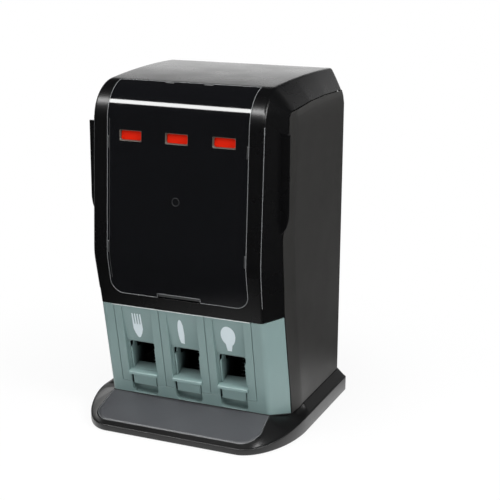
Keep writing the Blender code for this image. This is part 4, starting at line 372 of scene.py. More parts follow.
def round_corner(x, z, centre_x, centre_z, radius, reach):
    """Moves grid lines so that the square round a corner's centre becomes the corner's arc.

    A point's larger distance becomes its radius, fully up to the corner's radius and fading to the reach."""
    p, q = np.abs(x) - centre_x, centre_z - z
    inside = (p > 0) & (q > 0)
    m = np.maximum(p, q)
    k = np.clip((reach - m) / (reach - radius), 0, 1) if reach > radius else np.ones_like(m)
    scale = np.where(inside, (1 - k) + k * m / np.maximum(np.hypot(p, q), SAME), 1)
    x = np.where(inside, np.sign(x) * (centre_x + p * scale), x)
    return x, centre_z - q * np.where(inside, scale, 1)


def mirrored(points):
    """A half grid and its reflection in one grid, the middle column kept once."""
    return np.concatenate([points[:, :0:-1] * [-1, 1, 1], points], 1)


def both_sides(line):
    """A line from the middle outward with its reflection before it, the middle point kept once."""
    return mirrored(line[None])[0]


def polyline(corners, steps):
    """Points along straight runs between corners, each in its own number of steps, without the first point."""
    runs = zip(corners[:-1], corners[1:], steps)
    return np.concatenate([np.linspace(start, end, count + 1)[1:] for start, end, count in runs])


def rectangle(near, far, low, high):
    """The four corners of a rectangle in depth and height."""
    return np.array([(near, low), (far, low), (far, high), (near, high)])


def rounded_rectangle(half_w, half_h, radius, steps):
    """Points round a rectangle whose corners are quarter turns."""
    turn = np.linspace(0, math.pi / 2, steps)[None] + np.arange(4)[:, None] * math.pi / 2
    across_corner = np.array([1, -1, -1, 1])[:, None] * (half_w - radius)
    up_corner = np.array([1, 1, -1, -1])[:, None] * (half_h - radius)
    x, z = across_corner + radius * np.cos(turn), up_corner + radius * np.sin(turn)
    return np.stack([x, z], -1).reshape(-1, 2)


# Making pieces

def grid_faces(rows, columns, keep=None, closed=False):
    """Quads between neighbouring rows and columns of a grid, without those that keep leaves out."""
    index = np.arange(rows * columns).reshape(rows, columns)
    if closed:
        index = np.concatenate([index, index[:, :1]], 1)
    quads = np.stack([index[:-1, :-1], index[:-1, 1:], index[1:, 1:], index[1:, :-1]], 2)
    return quads[keep] if keep is not None else quads.reshape(-1, 4)


def piece(name, points, faces, body, *stands_for, outward=(0, 0, 1)):
    """A new object from whole arrays of points and faces, riding on a body and standing for CAD nodes."""
    mesh = bpy.data.meshes.new(name)
    mesh.from_pydata(points.reshape(-1, 3).tolist(), [], [list(map(int, face)) for face in faces])
    form = bmesh.new()
    form.from_mesh(mesh)
    bmesh.ops.remove_doubles(form, verts=form.verts, dist=TINY)
    loose = [vert for vert in form.verts if not vert.link_faces]
    bmesh.ops.delete(form, geom=loose, context="VERTS")
    bmesh.ops.recalc_face_normals(form, faces=form.faces)
    outward = Vector(outward)
    probe = max(form.faces, key=lambda face: face.calc_center_median().dot(outward))
    if probe.normal.dot(outward) < 0:
        bmesh.ops.reverse_faces(form, faces=form.faces)
    form.to_mesh(mesh)
    form.free()
    mesh.shade_smooth()
    item = bpy.data.objects.new(name, mesh)
    bpy.context.scene.collection.objects.link(item)
    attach(item, body)
    if stands_for:
        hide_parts(*stands_for)
    return item


def solid(name, rings, body):
    """A closed piece from a stack of equal rings, with a flat face over each end."""
    rows, count = rings.shape[:2]
    ends = np.arange(rows * count).reshape(rows, count)[[0, -1]]
    return piece(name, rings, grid_faces(rows, count, closed=True).tolist() + ends.tolist(), body)


def swept(name, span, outline, body):
    """A closed piece from an outline in depth and height, carried straight across between two places."""
    return solid(name, np.stack([np.insert(outline, 0, x, axis=1) for x in span]), body)


def plate(name, span, outline, body):
    """A flat plate with rounded edges."""
    return rounding(swept(name, span, outline, body), 0.3 * MM, 2)


def bead(name, path, radius, finish, body, closed=False, sides=8):
    """A thin bead: a circle carried along a path, in the plane across it that holds the forward direction."""
    step = np.roll(path, -1, 0) - np.roll(path, 1, 0) if closed else np.gradient(path, axis=0)
    step /= np.linalg.norm(step, axis=1, keepdims=True)
    out = np.array([0, -1.0, 0.35])
    out = out - step * (step @ out)[:, None]
    out /= np.linalg.norm(out, axis=1, keepdims=True)
    side = np.cross(step, out)
    turn = np.linspace(0, 2 * math.pi, sides, endpoint=False)[None, :, None]
    rings = path[:, None] + radius * (np.cos(turn) * out[:, None] + np.sin(turn) * side[:, None])
    if not closed:
        return coat(solid(name, rings, body), finish)
    rings = np.concatenate([rings, rings[:1]])
    return coat(piece(name, rings, grid_faces(*rings.shape[:2], closed=True), body), finish)


def rounding(item, edge, segments=3, angle=40):
    """Rounds the sharp edges of a piece."""
    bevel = item.modifiers.new("edge", "BEVEL")
    bevel.width = edge
    bevel.segments = segments
    bevel.limit_method = "ANGLE"
    bevel.angle_limit = math.radians(angle)
    bevel.harden_normals = True
    bevel.use_clamp_overlap = True
    return item


def walled(item, thickness, even=True):
    """Gives a surface its wall on the inner side."""
    wall = item.modifiers.new("wall", "SOLIDIFY")
    wall.thickness = thickness
    wall.offset = -1
    wall.use_even_offset = even
    return item


def refined(node, finish, edge=None, angle=30):
    """A piece on a CAD node's own form: its triangles merged, its flats made whole and its edges rounded."""
    source = frame["nodes"][node]
    mesh = source.data.copy()
    mesh.name = node + "_form"
    form = bmesh.new()
    form.from_mesh(mesh)
    bmesh.ops.remove_doubles(form, verts=form.verts, dist=2 * TINY)
    bmesh.ops.dissolve_limit(form, angle_limit=math.radians(0.4), verts=form.verts, edges=form.edges)
    form.to_mesh(mesh)
    form.free()
    mesh.shade_smooth()
    mesh.set_sharp_from_angle(angle=math.radians(angle))
    item = bpy.data.objects.new(node + "_form", mesh)
    bpy.context.scene.collection.objects.link(item)
    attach(item, source["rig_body"])
    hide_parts(node)
    if edge:
        rounding(item, edge, 2, angle)
    return coat(item, finish)


def coat(item, finish):
    """Gives a piece its finish."""
    item.data.materials.clear()
    item.data.materials.append(FINISHES[finish])
    return item


def dress(starts, finish):
    """Gives a finish to the CAD nodes whose names start so, which keep their own form."""
    for name, node in frame["nodes"].items():
        if name.startswith(starts):
            coat(node, finish)


# Finishes

FINISHES = {}


def principled(name, colour, roughness, **sockets):
    """A Principled finish; values that are the same all over stay on the shader's own sockets."""
    finish = bpy.data.materials.new(name)
    finish.use_nodes = True
    tree = finish.node_tree
    shader = tree.nodes["Principled BSDF"]
    shader.inputs["Base Color"].default_value = (*colour, 1)
    shader.inputs["Roughness"].default_value = roughness
    for socket, value in sockets.items():
        shader.inputs[socket].default_value = value
    place = tree.nodes.new("ShaderNodeTexCoord")
    return finish, tree, shader, place.outputs["Object"]


def noise(tree, place, scale, detail=2.0, rough=0.5, stretch=None):
    """Soft noise on Object coordinates, its scale in cycles a metre."""
    if stretch:
        mapping = tree.nodes.new("ShaderNodeMapping")
        mapping.inputs["Scale"].default_value = stretch
        tree.links.new(place, mapping.inputs["Vector"])
        place = mapping.outputs["Vector"]
    made = tree.nodes.new("ShaderNodeTexNoise")
    made.inputs["Scale"].default_value = scale
    made.inputs["Detail"].default_value = detail
    made.inputs["Roughness"].default_value = rough
    tree.links.new(place, made.inputs["Vector"])
    return made.outputs["Fac"]


def between(tree, value, start, end, low=0.0, high=1.0, eased=True):
    """Spreads a value from one range over another, by a smooth step or evenly."""
    made = tree.nodes.new("ShaderNodeMapRange")
    made.interpolation_type = "SMOOTHSTEP" if eased else "LINEAR"
    for socket, number in zip(("From Min", "From Max", "To Min", "To Max"), (start, end, low, high)):
        made.inputs[socket].default_value = number
    tree.links.new(value, made.inputs["Value"])
    return made.outputs["Result"]


def sheen(tree, shader, value, low, high):
    """Lets the roughness follow the middle of a noise value, between two limits."""
    tree.links.new(between(tree, value, 0.3, 0.7, low, high, eased=False), shader.inputs["Roughness"])


def mixed(tree, shader, blend, factor, first, second):
    """Sets the shader's colour from a mix; each of the three values is a link's start or a constant."""
    mix = tree.nodes.new("ShaderNodeMix")
    mix.data_type = "RGBA"
    mix.blend_type = blend
    for socket, value in (("Factor", factor), ("A", first), ("B", second)):
        if isinstance(value, bpy.types.NodeSocket):
            tree.links.new(value, mix.inputs[socket])
        else:
            mix.inputs[socket].default_value = value
    tree.links.new(mix.outputs["Result"], shader.inputs["Base Color"])


def tinted(tree, shader, value, colour, spread):
    """Lets the colour drift a little lighter and darker with a value."""
    dark, light = ((*[min(1, c * share) for c in colour], 1) for share in (1 - spread, 1 + spread))
    mixed(tree, shader, "MIX", value, dark, light)


def bumped(tree, shader, height, distance, strength, under=None):
    """Raises the surface by a height value, over an earlier bump when there is one."""
    bump = tree.nodes.new("ShaderNodeBump")
    bump.inputs["Distance"].default_value = distance
    bump.inputs["Strength"].default_value = strength
    tree.links.new(height, bump.inputs["Height"])
    if under:
        tree.links.new(under, bump.inputs["Normal"])
    tree.links.new(bump.outputs["Normal"], shader.inputs["Normal"])
    return bump.outputs["Normal"]


def gloss_finish(name, colour, roughness):
    """Polished moulding: a faint long ripple from the mould and a little drift in the polish."""
    finish, tree, shader, place = principled(name, colour, roughness)
    sheen(tree, shader, noise(tree, place, 60, 3), roughness * 0.8, roughness * 1.5)
    tinted(tree, shader, noise(tree, place, 25), colour, 0.08)
    bumped(tree, shader, noise(tree, place, 45, 1), 20 * MICRON, 0.25)
    return finish


def grain_finish(name, colour, roughness, grain, depth, drift, level=0.5):
    """Spark-textured moulding: fine pits a fraction of a millimetre apart over a slow drift of sheen."""
    finish, tree, shader, place = principled(name, colour, roughness, **{"Specular IOR Level": level})
    sheen(tree, shader, noise(tree, place, 18, 3), roughness * 0.92, roughness * 1.08)
    tinted(tree, shader, noise(tree, place, 30, 3), colour, drift)
    slow = bumped(tree, shader, noise(tree, place, 35, 1), 30 * MICRON, 0.2)
    bumped(tree, shader, noise(tree, place, grain, 3, 0.6), depth * MICRON, 0.7, slow)
    return finish


def steel_finish(name, colour):
    """Bright zinc: drawn lines along the piece and small tarnish."""
    finish, tree, shader, place = principled(name, colour, 0.28, Metallic=1.0)
    lines = noise(tree, place, 900, stretch=(0.05, 1, 1))
    sheen(tree, shader, lines, 0.2, 0.38)
    tinted(tree, shader, noise(tree, place, 160, 3), colour, 0.12)
    bumped(tree, shader, lines, 10 * MICRON, 0.4)
    return finish


def painted_shade_fade(finish, axis, start, end, share):
    """Paints shade into a finish: its colour darkens along an axis to a share of itself, as painted shade where
    light reaches less.
    """
    tree = finish.node_tree
    shader = tree.nodes["Principled BSDF"]
    colour = shader.inputs["Base Color"].links[0].from_socket
    place = next(node for node in tree.nodes if node.bl_idname == "ShaderNodeTexCoord").outputs["Object"]
    painted_shade = between(tree, parts_of(tree, place)[axis], start, end, 1.0, share)
    mixed(tree, shader, "MULTIPLY", 1.0, colour, painted_shade)


def make_finishes():
    """All finishes; the grained ones by roughness, grain in cycles a metre, pits in microns, drift and shine."""
    c = colours()
    # Painted light: the chute and lever take lighter copies of the fronts' sage, standing for light that falls
    # on them.
    lit_lever_sage, lit_chute_sage = ([min(1, share * v) for v in c.sage] for share in (1.18, 1.32))
    # Painted highlight: a dimmer copy of the edge colour, for edge lines and small parts that catch less light.
    painted_dim_highlight = [0.25 * v for v in c.edge]
    grained = {
        "satin": ("hood_satin_black", c.satin, 0.28, 3000, 20, 0.10, 0.34),
        "side": ("side_textured_grey", c.side, 0.46, 1800, 60, 0.12),
        "base": ("base_textured_black", c.base, 0.38, 1800, 60, 0.12),
        "ledge": ("ledge_slate_grey", c.ledge, 0.40, 2200, 40, 0.10),
        "sage": ("front_sage_green", c.sage, 0.42, 2600, 30, 0.05),
        "chute": ("chute_sage_painted_light_and_shade", lit_chute_sage, 0.42, 2600, 30, 0.05),
        "lever": ("lever_sage_painted_light", lit_lever_sage, 0.42, 2600, 30, 0.05),
        "sign": ("sign_pale_grey", c.sign, 0.55, 3200, 20, 0.04),
        "flag": ("flag_red", c.flag, 0.50, 2400, 10, 0.06, 0.06),
        "frame": ("window_frame_painted_light", c.window, 0.40, 3000, 10, 0.10),
        "painted_pale_highlight": ("fascia_edge_painted_highlight", c.painted_pale_highlight, 0.40, 3000, 10, 0.10),
        "edge": ("door_edge_painted_highlight", c.edge, 0.25, 3000, 10, 0.10),
        "painted_dim_highlight": ("door_step_painted_highlight", painted_dim_highlight, 0.30, 3000, 10, 0.10),
        "inner": ("inner_natural_black", c.inner, 0.50, 1500, 50, 0.15),
        "slide": ("slide_white", c.slide, 0.35, 1500, 20, 0.04),
        "rubber": ("foot_black_rubber", c.rubber, 0.80, 900, 100, 0.20),
    }
    FINISHES.update({key: grain_finish(*values) for key, values in grained.items()})
    FINISHES["gloss"] = gloss_finish("door_gloss_black", c.gloss, 0.06)
    FINISHES["steel"] = steel_finish("pin_bright_steel", c.steel)
    # Painted shade: the chute's colour darkens with depth into the dispenser, and the flag's top is darkened as
    # painted shadow of its window frame.
    painted_shade_fade(FINISHES["chute"], 1, FRONT + 53 * MM, FRONT + 90 * MM, 0.02)
    painted_shade_fade(FINISHES["flag"], 2, WINDOW_Z + 1.5 * MM, WINDOW_Z + 6.5 * MM, 0.55)


# Shapes of the shells

def path_run(y, z):
    """A number that grows along the profile: the height up the front, then the setback over the top."""
    return np.where(y < 60 * MM, z, 600 * MM + y)


def hood_rows():
    """The hood's stations with rows added at the door opening's edges and round its lower corners.

    Of two rows nearer than a fifth of a millimetre the later goes, but an added row always stays."""
    marks = OPENING_FOOT + np.array([0, 4, 8, 12, 15, 18, 24]) * MM
    rear = [np.interp(OPENING_REAR, SHOULDER[:, 0], column) for column in shoulder_rows().T]
    rows = np.vstack([stations(sizes().fineness), front_rows(marks), rear])
    rows = rows[np.argsort(path_run(*rows.T[:2]))]
    near = np.diff(path_run(*rows.T[:2])) <= 0.2 * MM
    near_last, near_next = np.append(False, near), np.append(near, False)
    marked = np.isin(rows[:, 1], marks) | (np.abs(rows[:, 0] - OPENING_REAR) < SAME)
    return rows[marked | ~(near_last | near_next & np.append(marked[1:], False))]


def hood_surface():
    """Half the hood's grid, drawn round the door opening's corners, and the cells outside the opening."""
    s, rows = sizes(), hood_rows()
    corner = OPENING_HALF - s.door_corner
    beside = OPENING_HALF + np.array([2.1, 4.6, 7.1]) * MM
    flats = np.concatenate([np.linspace(0, corner, 14), np.linspace(corner, OPENING_HALF, 7)[1:], beside])
    points = across(rows, flats, s.corner_soft, 9)
    front = rows[:, 1] < 300 * MM
    grid = points[front]
    radius = s.door_corner + s.door_gap
    centre = OPENING_HALF - radius, OPENING_FOOT + radius
    x, z = round_corner(grid[:, :, 0], grid[:, :, 2], *centre, radius, radius + 7 * MM)
    points[front] = np.where(grid[:, :, :1] < beside[-1] + 0.1 * MM, on_face(x, z), grid)
    points = np.concatenate([points, rear_turn(points[-1])])
    open_rows = (rows[:-1, 1] > OPENING_FOOT - TINY) & (rows[1:, 0] < OPENING_REAR + TINY)
    keep = np.ones((len(points) - 1, points.shape[1] - 1), bool)
    keep[: len(open_rows), : np.searchsorted(flats, OPENING_HALF - TINY)] = ~open_rows[:, None]
    return points, keep


def rear_turn(last):
    """Rows that turn the top down into the rear flange: a quarter turn, then straight down to its foot."""
    foot = seam_z(BODY_REAR - REAR_RADIUS) - 0.8 * MM
    turn = np.linspace(0, math.pi / 2, 9)[1:, None]
    inset = REAR_RADIUS * (1 - np.cos(turn))
    x = last[None, :, 0] * (1 - inset / (HALF_BODY - TOP_INSET))
    y = np.broadcast_to(FRONT + BODY_REAR - REAR_RADIUS + REAR_RADIUS * np.sin(turn), x.shape)
    z = foot + (last[None, :, 2] - foot) * (1 - inset / (HEIGHT - foot))
    turned = np.stack([x, y, z], 2)
    end = turned[-1].copy()
    end[:, 2] = foot
    end[-2, 0] = (end[-3, 0] + end[-1, 0]) / 2
    return np.concatenate([turned, [(turned[-1] + end) / 2, end]])


GRIP_FOOT, GRIP_BEND, GRIP_TOP = 266 * MM, 296 * MM, 388 * MM
GRIP_INNER, GRIP_LOW, GRIP_REACH = 114 * MM, 116.5 * MM, 17.1 * MM
GRIP_Y, GRIP_HALF_DEPTH = 58.7 * MM, 1.6 * MM


class DISPENSER_OT_hood(bpy.types.Operator):
    """Builds the hood: front frame, shoulders and top in one moulding, with its grips and hinge lugs"""
    bl_idname = "dispenser.hood"
    bl_label = "Hood"

    def execute(self, context):
        s = sizes()
        points, keep = hood_surface()
        points, keep = mirrored(points), np.concatenate([keep[:, ::-1], keep], 1)
        item = piece("hood_shell", points, grid_faces(*points.shape[:2], keep), "housing", "front_hood")
        coat(rounding(walled(item, s.wall), s.edge), "satin")
        foot, outside, sunk, radius = 180 * MM, 0.1 * MM, 0.95 * MM, 0.45 * MM
        z = np.linspace(foot, SHOULDER_Z + 2 * MM, 80)
        for side, sign in SIDES:
            self.grip(side, sign)
            self.lug(side, sign)
            line = on_face(sign * (face_half(z) + outside), z, -sunk)
            # Painted highlight along the hood's front corners: the bright edge colour on the right, where the
            # key light falls, and the dim one on the left.
            bead("hood_corner_line_" + side, line, radius, "edge" if sign > 0 else "painted_dim_highlight", "housing")
        return {"FINISHED"}

    def grip(self, side, sign):
        """An upright bar: superellipse sections swept up, its outer side a quarter ellipse at the foot."""
        lip = GRIP_TOP - np.array([0.25, 0]) * MM
        bar = np.linspace(GRIP_BEND, GRIP_TOP - 0.6 * MM, 8)[1:]
        z = np.concatenate([np.linspace(GRIP_FOOT, GRIP_BEND, 24), bar, lip])
        share = np.clip(0.06 + (z - GRIP_FOOT) / (GRIP_BEND - GRIP_FOOT), 0, 1)
        outer = GRIP_LOW + GRIP_REACH * np.sqrt(1 - (1 - share) ** 2)
        outer[-1] -= 0.5 * MM
        turn = np.linspace(0, 2 * math.pi, 40, endpoint=False)
        c, n = np.cos(turn), np.sin(turn)
        middle, half = (GRIP_INNER + outer[:, None]) / 2, (outer[:, None] - GRIP_INNER) / 2
        x = sign * (middle + half * np.sign(c) * np.abs(c) ** 0.45)
        y = FRONT + GRIP_Y + GRIP_HALF_DEPTH * np.sign(n) * np.abs(n) ** 0.6
        rings = np.stack(np.broadcast_arrays(x, y, z[:, None]), 2)
        item = coat(solid("grip_bar_" + side, rings, "housing"), "satin")
        item.data.set_sharp_from_angle(angle=math.radians(40))

    def lug(self, side, sign):
        """A hinge lug: a half round nose with a flat web behind it, carried straight across."""
        nose, web, half_web = 1.5 * MM, 4.6 * MM, 1.2 * MM
        turn = np.linspace(math.pi / 2, 3 * math.pi / 2, 17)
        outline = nose * np.stack([np.cos(turn), np.sin(turn)], 1)
        outline = np.vstack([outline, [(web, -half_web), (web, half_web)]])
        span = sign * LUG_X - LUG_HALF, sign * LUG_X + LUG_HALF
        # The lugs are coloured as a painted highlight.
        item = coat(swept("hinge_lug_" + side, span, outline + [HINGE_Y, HINGE_Z], "housing"), "painted_dim_highlight")
        item.data.set_sharp_from_angle(angle=math.radians(40))


def spaced(values, fixed):
    """Sorted grid lines: the fixed ones, and others 1.4 mm or more from those and 0.45 mm from one another."""
    values = np.unique(np.round(values, 9))
    values = values[np.abs(values[:, None] - fixed[None]).min(1) > 1.4 * MM]
    kept = np.append(True, np.diff(values) > 0.45 * MM)
    return np.unique(np.concatenate([values[kept], fixed]))


# Half-width, half-height, depth below the face and corner radius of a window frame's rings, in millimetres

FRAME_RINGS = (
    (15.2, 6.95, 1.2, 2.0), (15.2, 6.95, 0.15, 2.0), (14.9, 6.65, 0.0, 2.0), (14.6, 6.35, 0.15, 2.0),
    (13.7, 5.5, 2.6, 2.6), (13.7, 5.5, 3.1, 2.6), (15.2, 6.95, 3.1, 2.0), (15.2, 6.95, 1.2, 2.0))

# Each kind of ear: the pin's place in depth and height, the margin round it and where the ears stand across

EARS = (
    ("flag", -93.136 * MM, 391.5 * MM, 3 * MM, (-86, -30.85, 30.85, 86)),
    ("latch", -94.76 * MM, 187.448 * MM, 2.4 * MM, (-24, 24)))


class DISPENSER_OT_door(bpy.types.Operator):
    """Builds the curved door with its window holes, dimple and pull notch, its frames, ears and beads"""
    bl_idname = "dispenser.door"
    bl_label = "Door"

    def execute(self, context):
        s = sizes()
        points, keep = self.surface(s)
        faces = grid_faces(*points.shape[:2], keep)
        item = piece("door_shell", points, faces, "door", "front_door", outward=(0, -1, 0))
        coat(rounding(walled(item, s.door_wall), s.door_edge, 4), "gloss")
        for name, lane in LANES:
            self.window(name, lane * WINDOW_PITCH)
        self.ears()
        self.beads()
        return {"FINISHED"}

    def surface(self, s):
        """The door's grid and the cells to keep: the face with its corners rounded, then the shoulder's arc."""
        edge, foot, radius = OPENING_HALF - s.door_gap, OPENING_FOOT + s.door_gap, s.door_corner
        fine = np.linspace(-8, 8, 33) * MM
        corner = radius * np.linspace(0, 1, 9)
        low, high = WINDOW_Z - WINDOW_HALF_HEIGHT, WINDOW_Z + WINDOW_HALF_HEIGHT
        holes = [lane * WINDOW_PITCH + sign * WINDOW_HALF for _, lane in LANES for _, sign in SIDES]
        half = np.array([LUG_X - LUG_HALF - LUG_GAP, LUG_X + LUG_HALF + LUG_GAP, NOTCH_HALF, edge])
        beside = edge - radius + corner
        x = np.concatenate([np.linspace(-edge, edge, 33), fine, beside, -beside])
        x = spaced(x, np.append(holes, [half, -half]))
        z = np.concatenate([np.linspace(foot, SHOULDER_Z, 40), BROW[:, 1], foot + corner, DIMPLE_Z + fine])
        z = spaced(z, np.array([low, high, NOTCH_TOP, foot]))
        arc = SHOULDER[1:][SHOULDER[1:, 0] < DOOR_REAR]
        over = np.vstack([arc, [DOOR_REAR, np.interp(DOOR_REAR, *SHOULDER.T)]])
        mid_x, mid_z = (x[:-1] + x[1:]) / 2, (z[:-1] + z[1:]) / 2
        keep = np.ones((len(mid_z) + len(over), len(mid_x)), bool)
        face = keep[: len(mid_z)]
        for _, lane in LANES:
            beside = np.abs(mid_x - lane * WINDOW_PITCH) < WINDOW_HALF
            face &= ~np.outer((mid_z > low) & (mid_z < high), beside)
        face &= ~np.outer(mid_z < NOTCH_TOP, np.abs(mid_x) < NOTCH_HALF)
        rear = np.count_nonzero(over[:, 0] > DOOR_REAR - LUG_NOTCH)
        keep[-rear:] &= np.abs(np.abs(mid_x) - LUG_X) > LUG_HALF + LUG_GAP
        gx, gz = round_corner(*np.meshgrid(x, z), edge - radius, foot + radius, radius, radius)
        reach = np.hypot(gx, gz - DIMPLE_Z)
        dip = 0.55 * MM * smooth((6.4 * MM - reach) / (1.2 * MM)) - 0.4 * MM * smooth((4.6 * MM - reach) / MM)
        top = np.stack(np.broadcast_arrays(x[None], FRONT + over[:, :1], over[:, 1:]), 2)
        return np.concatenate([on_face(gx, gz, -dip), top]), keep

    def beads(self):
        """Painted highlights: the light line in the door's gap, the dim line beside it, the dimple's ring and
        the short ribs.
        """
        inset, radius = 0.75 * MM, sizes().door_corner
        half, foot = OPENING_HALF - inset, OPENING_FOOT + inset
        side = on_face(np.full(60, half), np.linspace(foot + radius, SHOULDER_Z, 60))
        over = SHOULDER[1:][SHOULDER[1:, 0] < DOOR_REAR + 0.4 * MM]
        top = np.insert(over + [FRONT, 0], 0, half, axis=1)
        turn = np.linspace(0, math.pi / 2, 20)[1:]
        corner = on_face(half - radius * (1 - np.cos(turn)), foot + radius * (1 - np.sin(turn)))
        notch_x, notch_z = NOTCH_HALF + 0.3 * MM, NOTCH_TOP + 0.4 * MM
        low = polyline([(half - radius, foot), (notch_x, foot), (notch_x, notch_z), (0, notch_z)], (11, 3, 5))
        right = np.concatenate([top[::-1], side[::-1], corner, on_face(*low.T)])
        left = right[-2::-1] * [-1, 1, 1]
        level = np.linspace(left[-1], right[0], 21)[1:-1]
        bead("door_edge_line", np.concatenate([right, left, level]), 0.42 * MM, "edge", "door", closed=True)
        step = (side[1:] - [3.1 * MM, 0, 0]) * [-1, 1, 1]
        bead("door_step_line", step, 0.3 * MM, "painted_dim_highlight", "door")
        turn = np.linspace(0, 2 * math.pi, 40, endpoint=False)
        reach, sunk = 4.8 * MM, 0.1 * MM
        ring = on_face(reach * np.cos(turn), DIMPLE_Z + reach * np.sin(turn), -sunk)
        bead("door_dimple_line", ring, 0.25 * MM, "painted_dim_highlight", "door", closed=True)
        length, inward, sunk = 15 * MM, 1.5 * MM, 0.4 * MM
        for name, sign in SIDES:
            for height, start in (("high", 361 * MM), ("low", 231 * MM)):
                z = np.linspace(start, start + length, 8)
                rib = on_face(np.full(8, sign * (half - inward)), z, -sunk)
                bead("door_rib_%s_%s" % (height, name), rib, 1.0 * MM, "painted_dim_highlight", "door", sides=12)

    def window(self, name, x):
        """A window frame: rounded rectangles lofted from the face down to the flag, the inner wall sloping."""
        rings = []
        for half_w, half_h, depth, radius in FRAME_RINGS:
            outline = rounded_rectangle(half_w * MM, half_h * MM, radius * MM, 7)
            rings.append(on_face(x + outline[:, 0], WINDOW_Z + outline[:, 1], -depth * MM))
        rings = np.stack(rings)
        faces = grid_faces(*rings.shape[:2], closed=True)
        # Painted light: the frame's bevel is coloured a lit brown, far lighter than the door's black.
        item = coat(piece("window_frame_" + name, rings, faces, "door", outward=(0, -1, 0)), "frame")
        item.data.set_sharp_from_angle(angle=math.radians(50))

    def ears(self):
        """Ears on the door's inner face for the flag rod and the latch pin: small plates with rounded edges."""
        sunk, half = 1.6 * MM, 1 * MM
        for kind, y, z, margin, places in EARS:
            outline = rectangle(FRONT + face_y(z) + sunk, y + margin, z - margin, z + margin)
            for k, x in enumerate(places):
                coat(plate("%s_ear_%d" % (kind, k), (x * MM - half, x * MM + half), outline, "door"), "gloss")


def panel_half(z):
    """Half-width of the side panel, drawn in at its top by a power of one and a half."""
    start = HEIGHT - 44.5 * MM
    rise = np.clip((z - start) / (seam_z(CROWN_PEAK) - start), 0, None)
    return HALF_BODY - 4.2 * MM * rise**1.5


class DISPENSER_OT_sides(bpy.types.Operator):
    """Builds the two side panels, flared at their front edge and turned in at the rear"""
    bl_idname = "dispenser.sides"
    bl_label = "Side panels"

    def execute(self, context):
        s = sizes()
        for side, sign in SIDES:
            points = self.surface() * [sign, 1, 1]
            faces = grid_faces(*points.shape[:2])
            names = "side_shell_" + side, "side_panel_" + side
            item = piece(names[0], points, faces, "housing", names[1], outward=(sign, 0, 0))
            coat(rounding(walled(item, s.wall), s.edge), "side")
        return {"FINISHED"}

    def surface(self):
        """Rows of equal share of the height: out from the edge by a sine, level, then a quarter turn."""
        low = SEAT + 0.3 * MM
        peak = seam_z(CROWN_START) - SEAM_GAP - SEAM_RADIUS
        heights = [np.linspace(low, SHOULDER_Z, 40), EDGE_LINE[2:7, 0], np.linspace(SHOULDER_Z, peak, 8)]
        heights = np.unique(np.concatenate(heights))
        half, edge = (value[:, None] + SEAM_GAP for value in edge_xy(heights))
        rear = BODY_REAR - REAR_RADIUS
        flare = edge + FLARE * np.linspace(0, 1, 15) ** 1.2
        level = edge + FLARE + (rear - edge - FLARE) * np.linspace(0, 1, 20)[1:]
        y = np.concatenate([flare, level], 1)
        share = np.minimum(1, (y - edge) / FLARE)
        corner = np.maximum(0, SEAM_RADIUS - (y - edge))
        top = seam_z(y) - SEAM_GAP - SEAM_RADIUS + np.sqrt(SEAM_RADIUS**2 - corner**2)
        z = low + (top - low) * (heights[:, None] - low) / (peak - low)
        z[0] -= foot_drop(HALF_BODY - EDGE_INSET, y[0])
        x = half + (panel_half(z) - half) * np.sin(share * math.pi / 2)
        turn = np.linspace(0, math.pi / 2, 9)[1:]
        end_x = x[:, -1:] - REAR_RADIUS * (1 - np.cos(turn))
        end_y = np.broadcast_to(rear + REAR_RADIUS * np.sin(turn), end_x.shape)
        x = np.concatenate([x, end_x, end_x[:, -1:] - 0.5 * MM, end_x[:, -1:] - 1.0 * MM], 1)
        y = np.concatenate([y, end_y, end_y[:, -1:], end_y[:, -1:]], 1)
        z = np.concatenate([z, np.repeat(z[:, -1:], len(turn) + 2, 1)], 1)
        return np.stack([x, FRONT + y, z], 2)


# The base: plans are half outlines, from the middle in front round to the middle behind

MATCH_Y = 140 * MM
FACE_FOOT_HALF = HALF_BODY - FACE_INSET_LOW
FOOT_DROP = 9 * MM
RIM_Y, RIM_HALF = 3.5 * MM, HALF_BASE - 31.8 * MM
RIM_CORNER_X, RIM_CORNER_Y = 20 * MM, 26 * MM
RIM_GAP = 0.8 * MM
SKIRT_CORNER_X, SKIRT_CORNER_Y, SKIRT_POWER = 55 * MM, 102 * MM, 1.9
SKIRT_LOW, SKIRT_RISE, SKIRT_RUN = 9.5 * MM, 11.5 * MM, 100 * MM
SKIRT_FOOT, SKIRT_START, SKIRT_ROUND = 1.2 * MM, 2.3 * MM, 1.6 * MM
REAR_CORNER = 8 * MM
LEDGE_START = 13.4 * MM
LEDGE_SLOPE = (SEAT - LEDGE_START) / (FOOT_Y - RIM_Y)
SIDE_STEPS, CORNER_STEPS = 13, 97
LEDGE_COLUMNS = SIDE_STEPS + CORNER_STEPS


def half_plan(front_x, front_y, corner, rear_y, radius):
    """Half an outline: a level run, a corner line spaced evenly, a side, a quarter turn and a run back."""
    reach = np.append(0, np.cumsum(np.hypot(*np.diff(corner, axis=0).T)))
    even = np.linspace(0, reach[-1], CORNER_STEPS)
    corner = np.stack([np.interp(even, reach, values) for values in corner.T], 1)
    side_x, side_y = corner[-1]
    front = np.linspace((0, front_y), (front_x, front_y), SIDE_STEPS)[:-1]
    side = np.linspace((side_x, side_y), (side_x, rear_y - radius), SIDE_STEPS)[1:]
    turn = np.linspace(0, math.pi / 2, SIDE_STEPS)[1:]
    rear = np.stack([side_x - radius * (1 - np.cos(turn)), rear_y - radius * (1 - np.sin(turn))], 1)
    back = np.linspace((side_x - radius, rear_y), (0, rear_y), SIDE_STEPS)[1:]
    return np.concatenate([front, corner, side, rear, back])


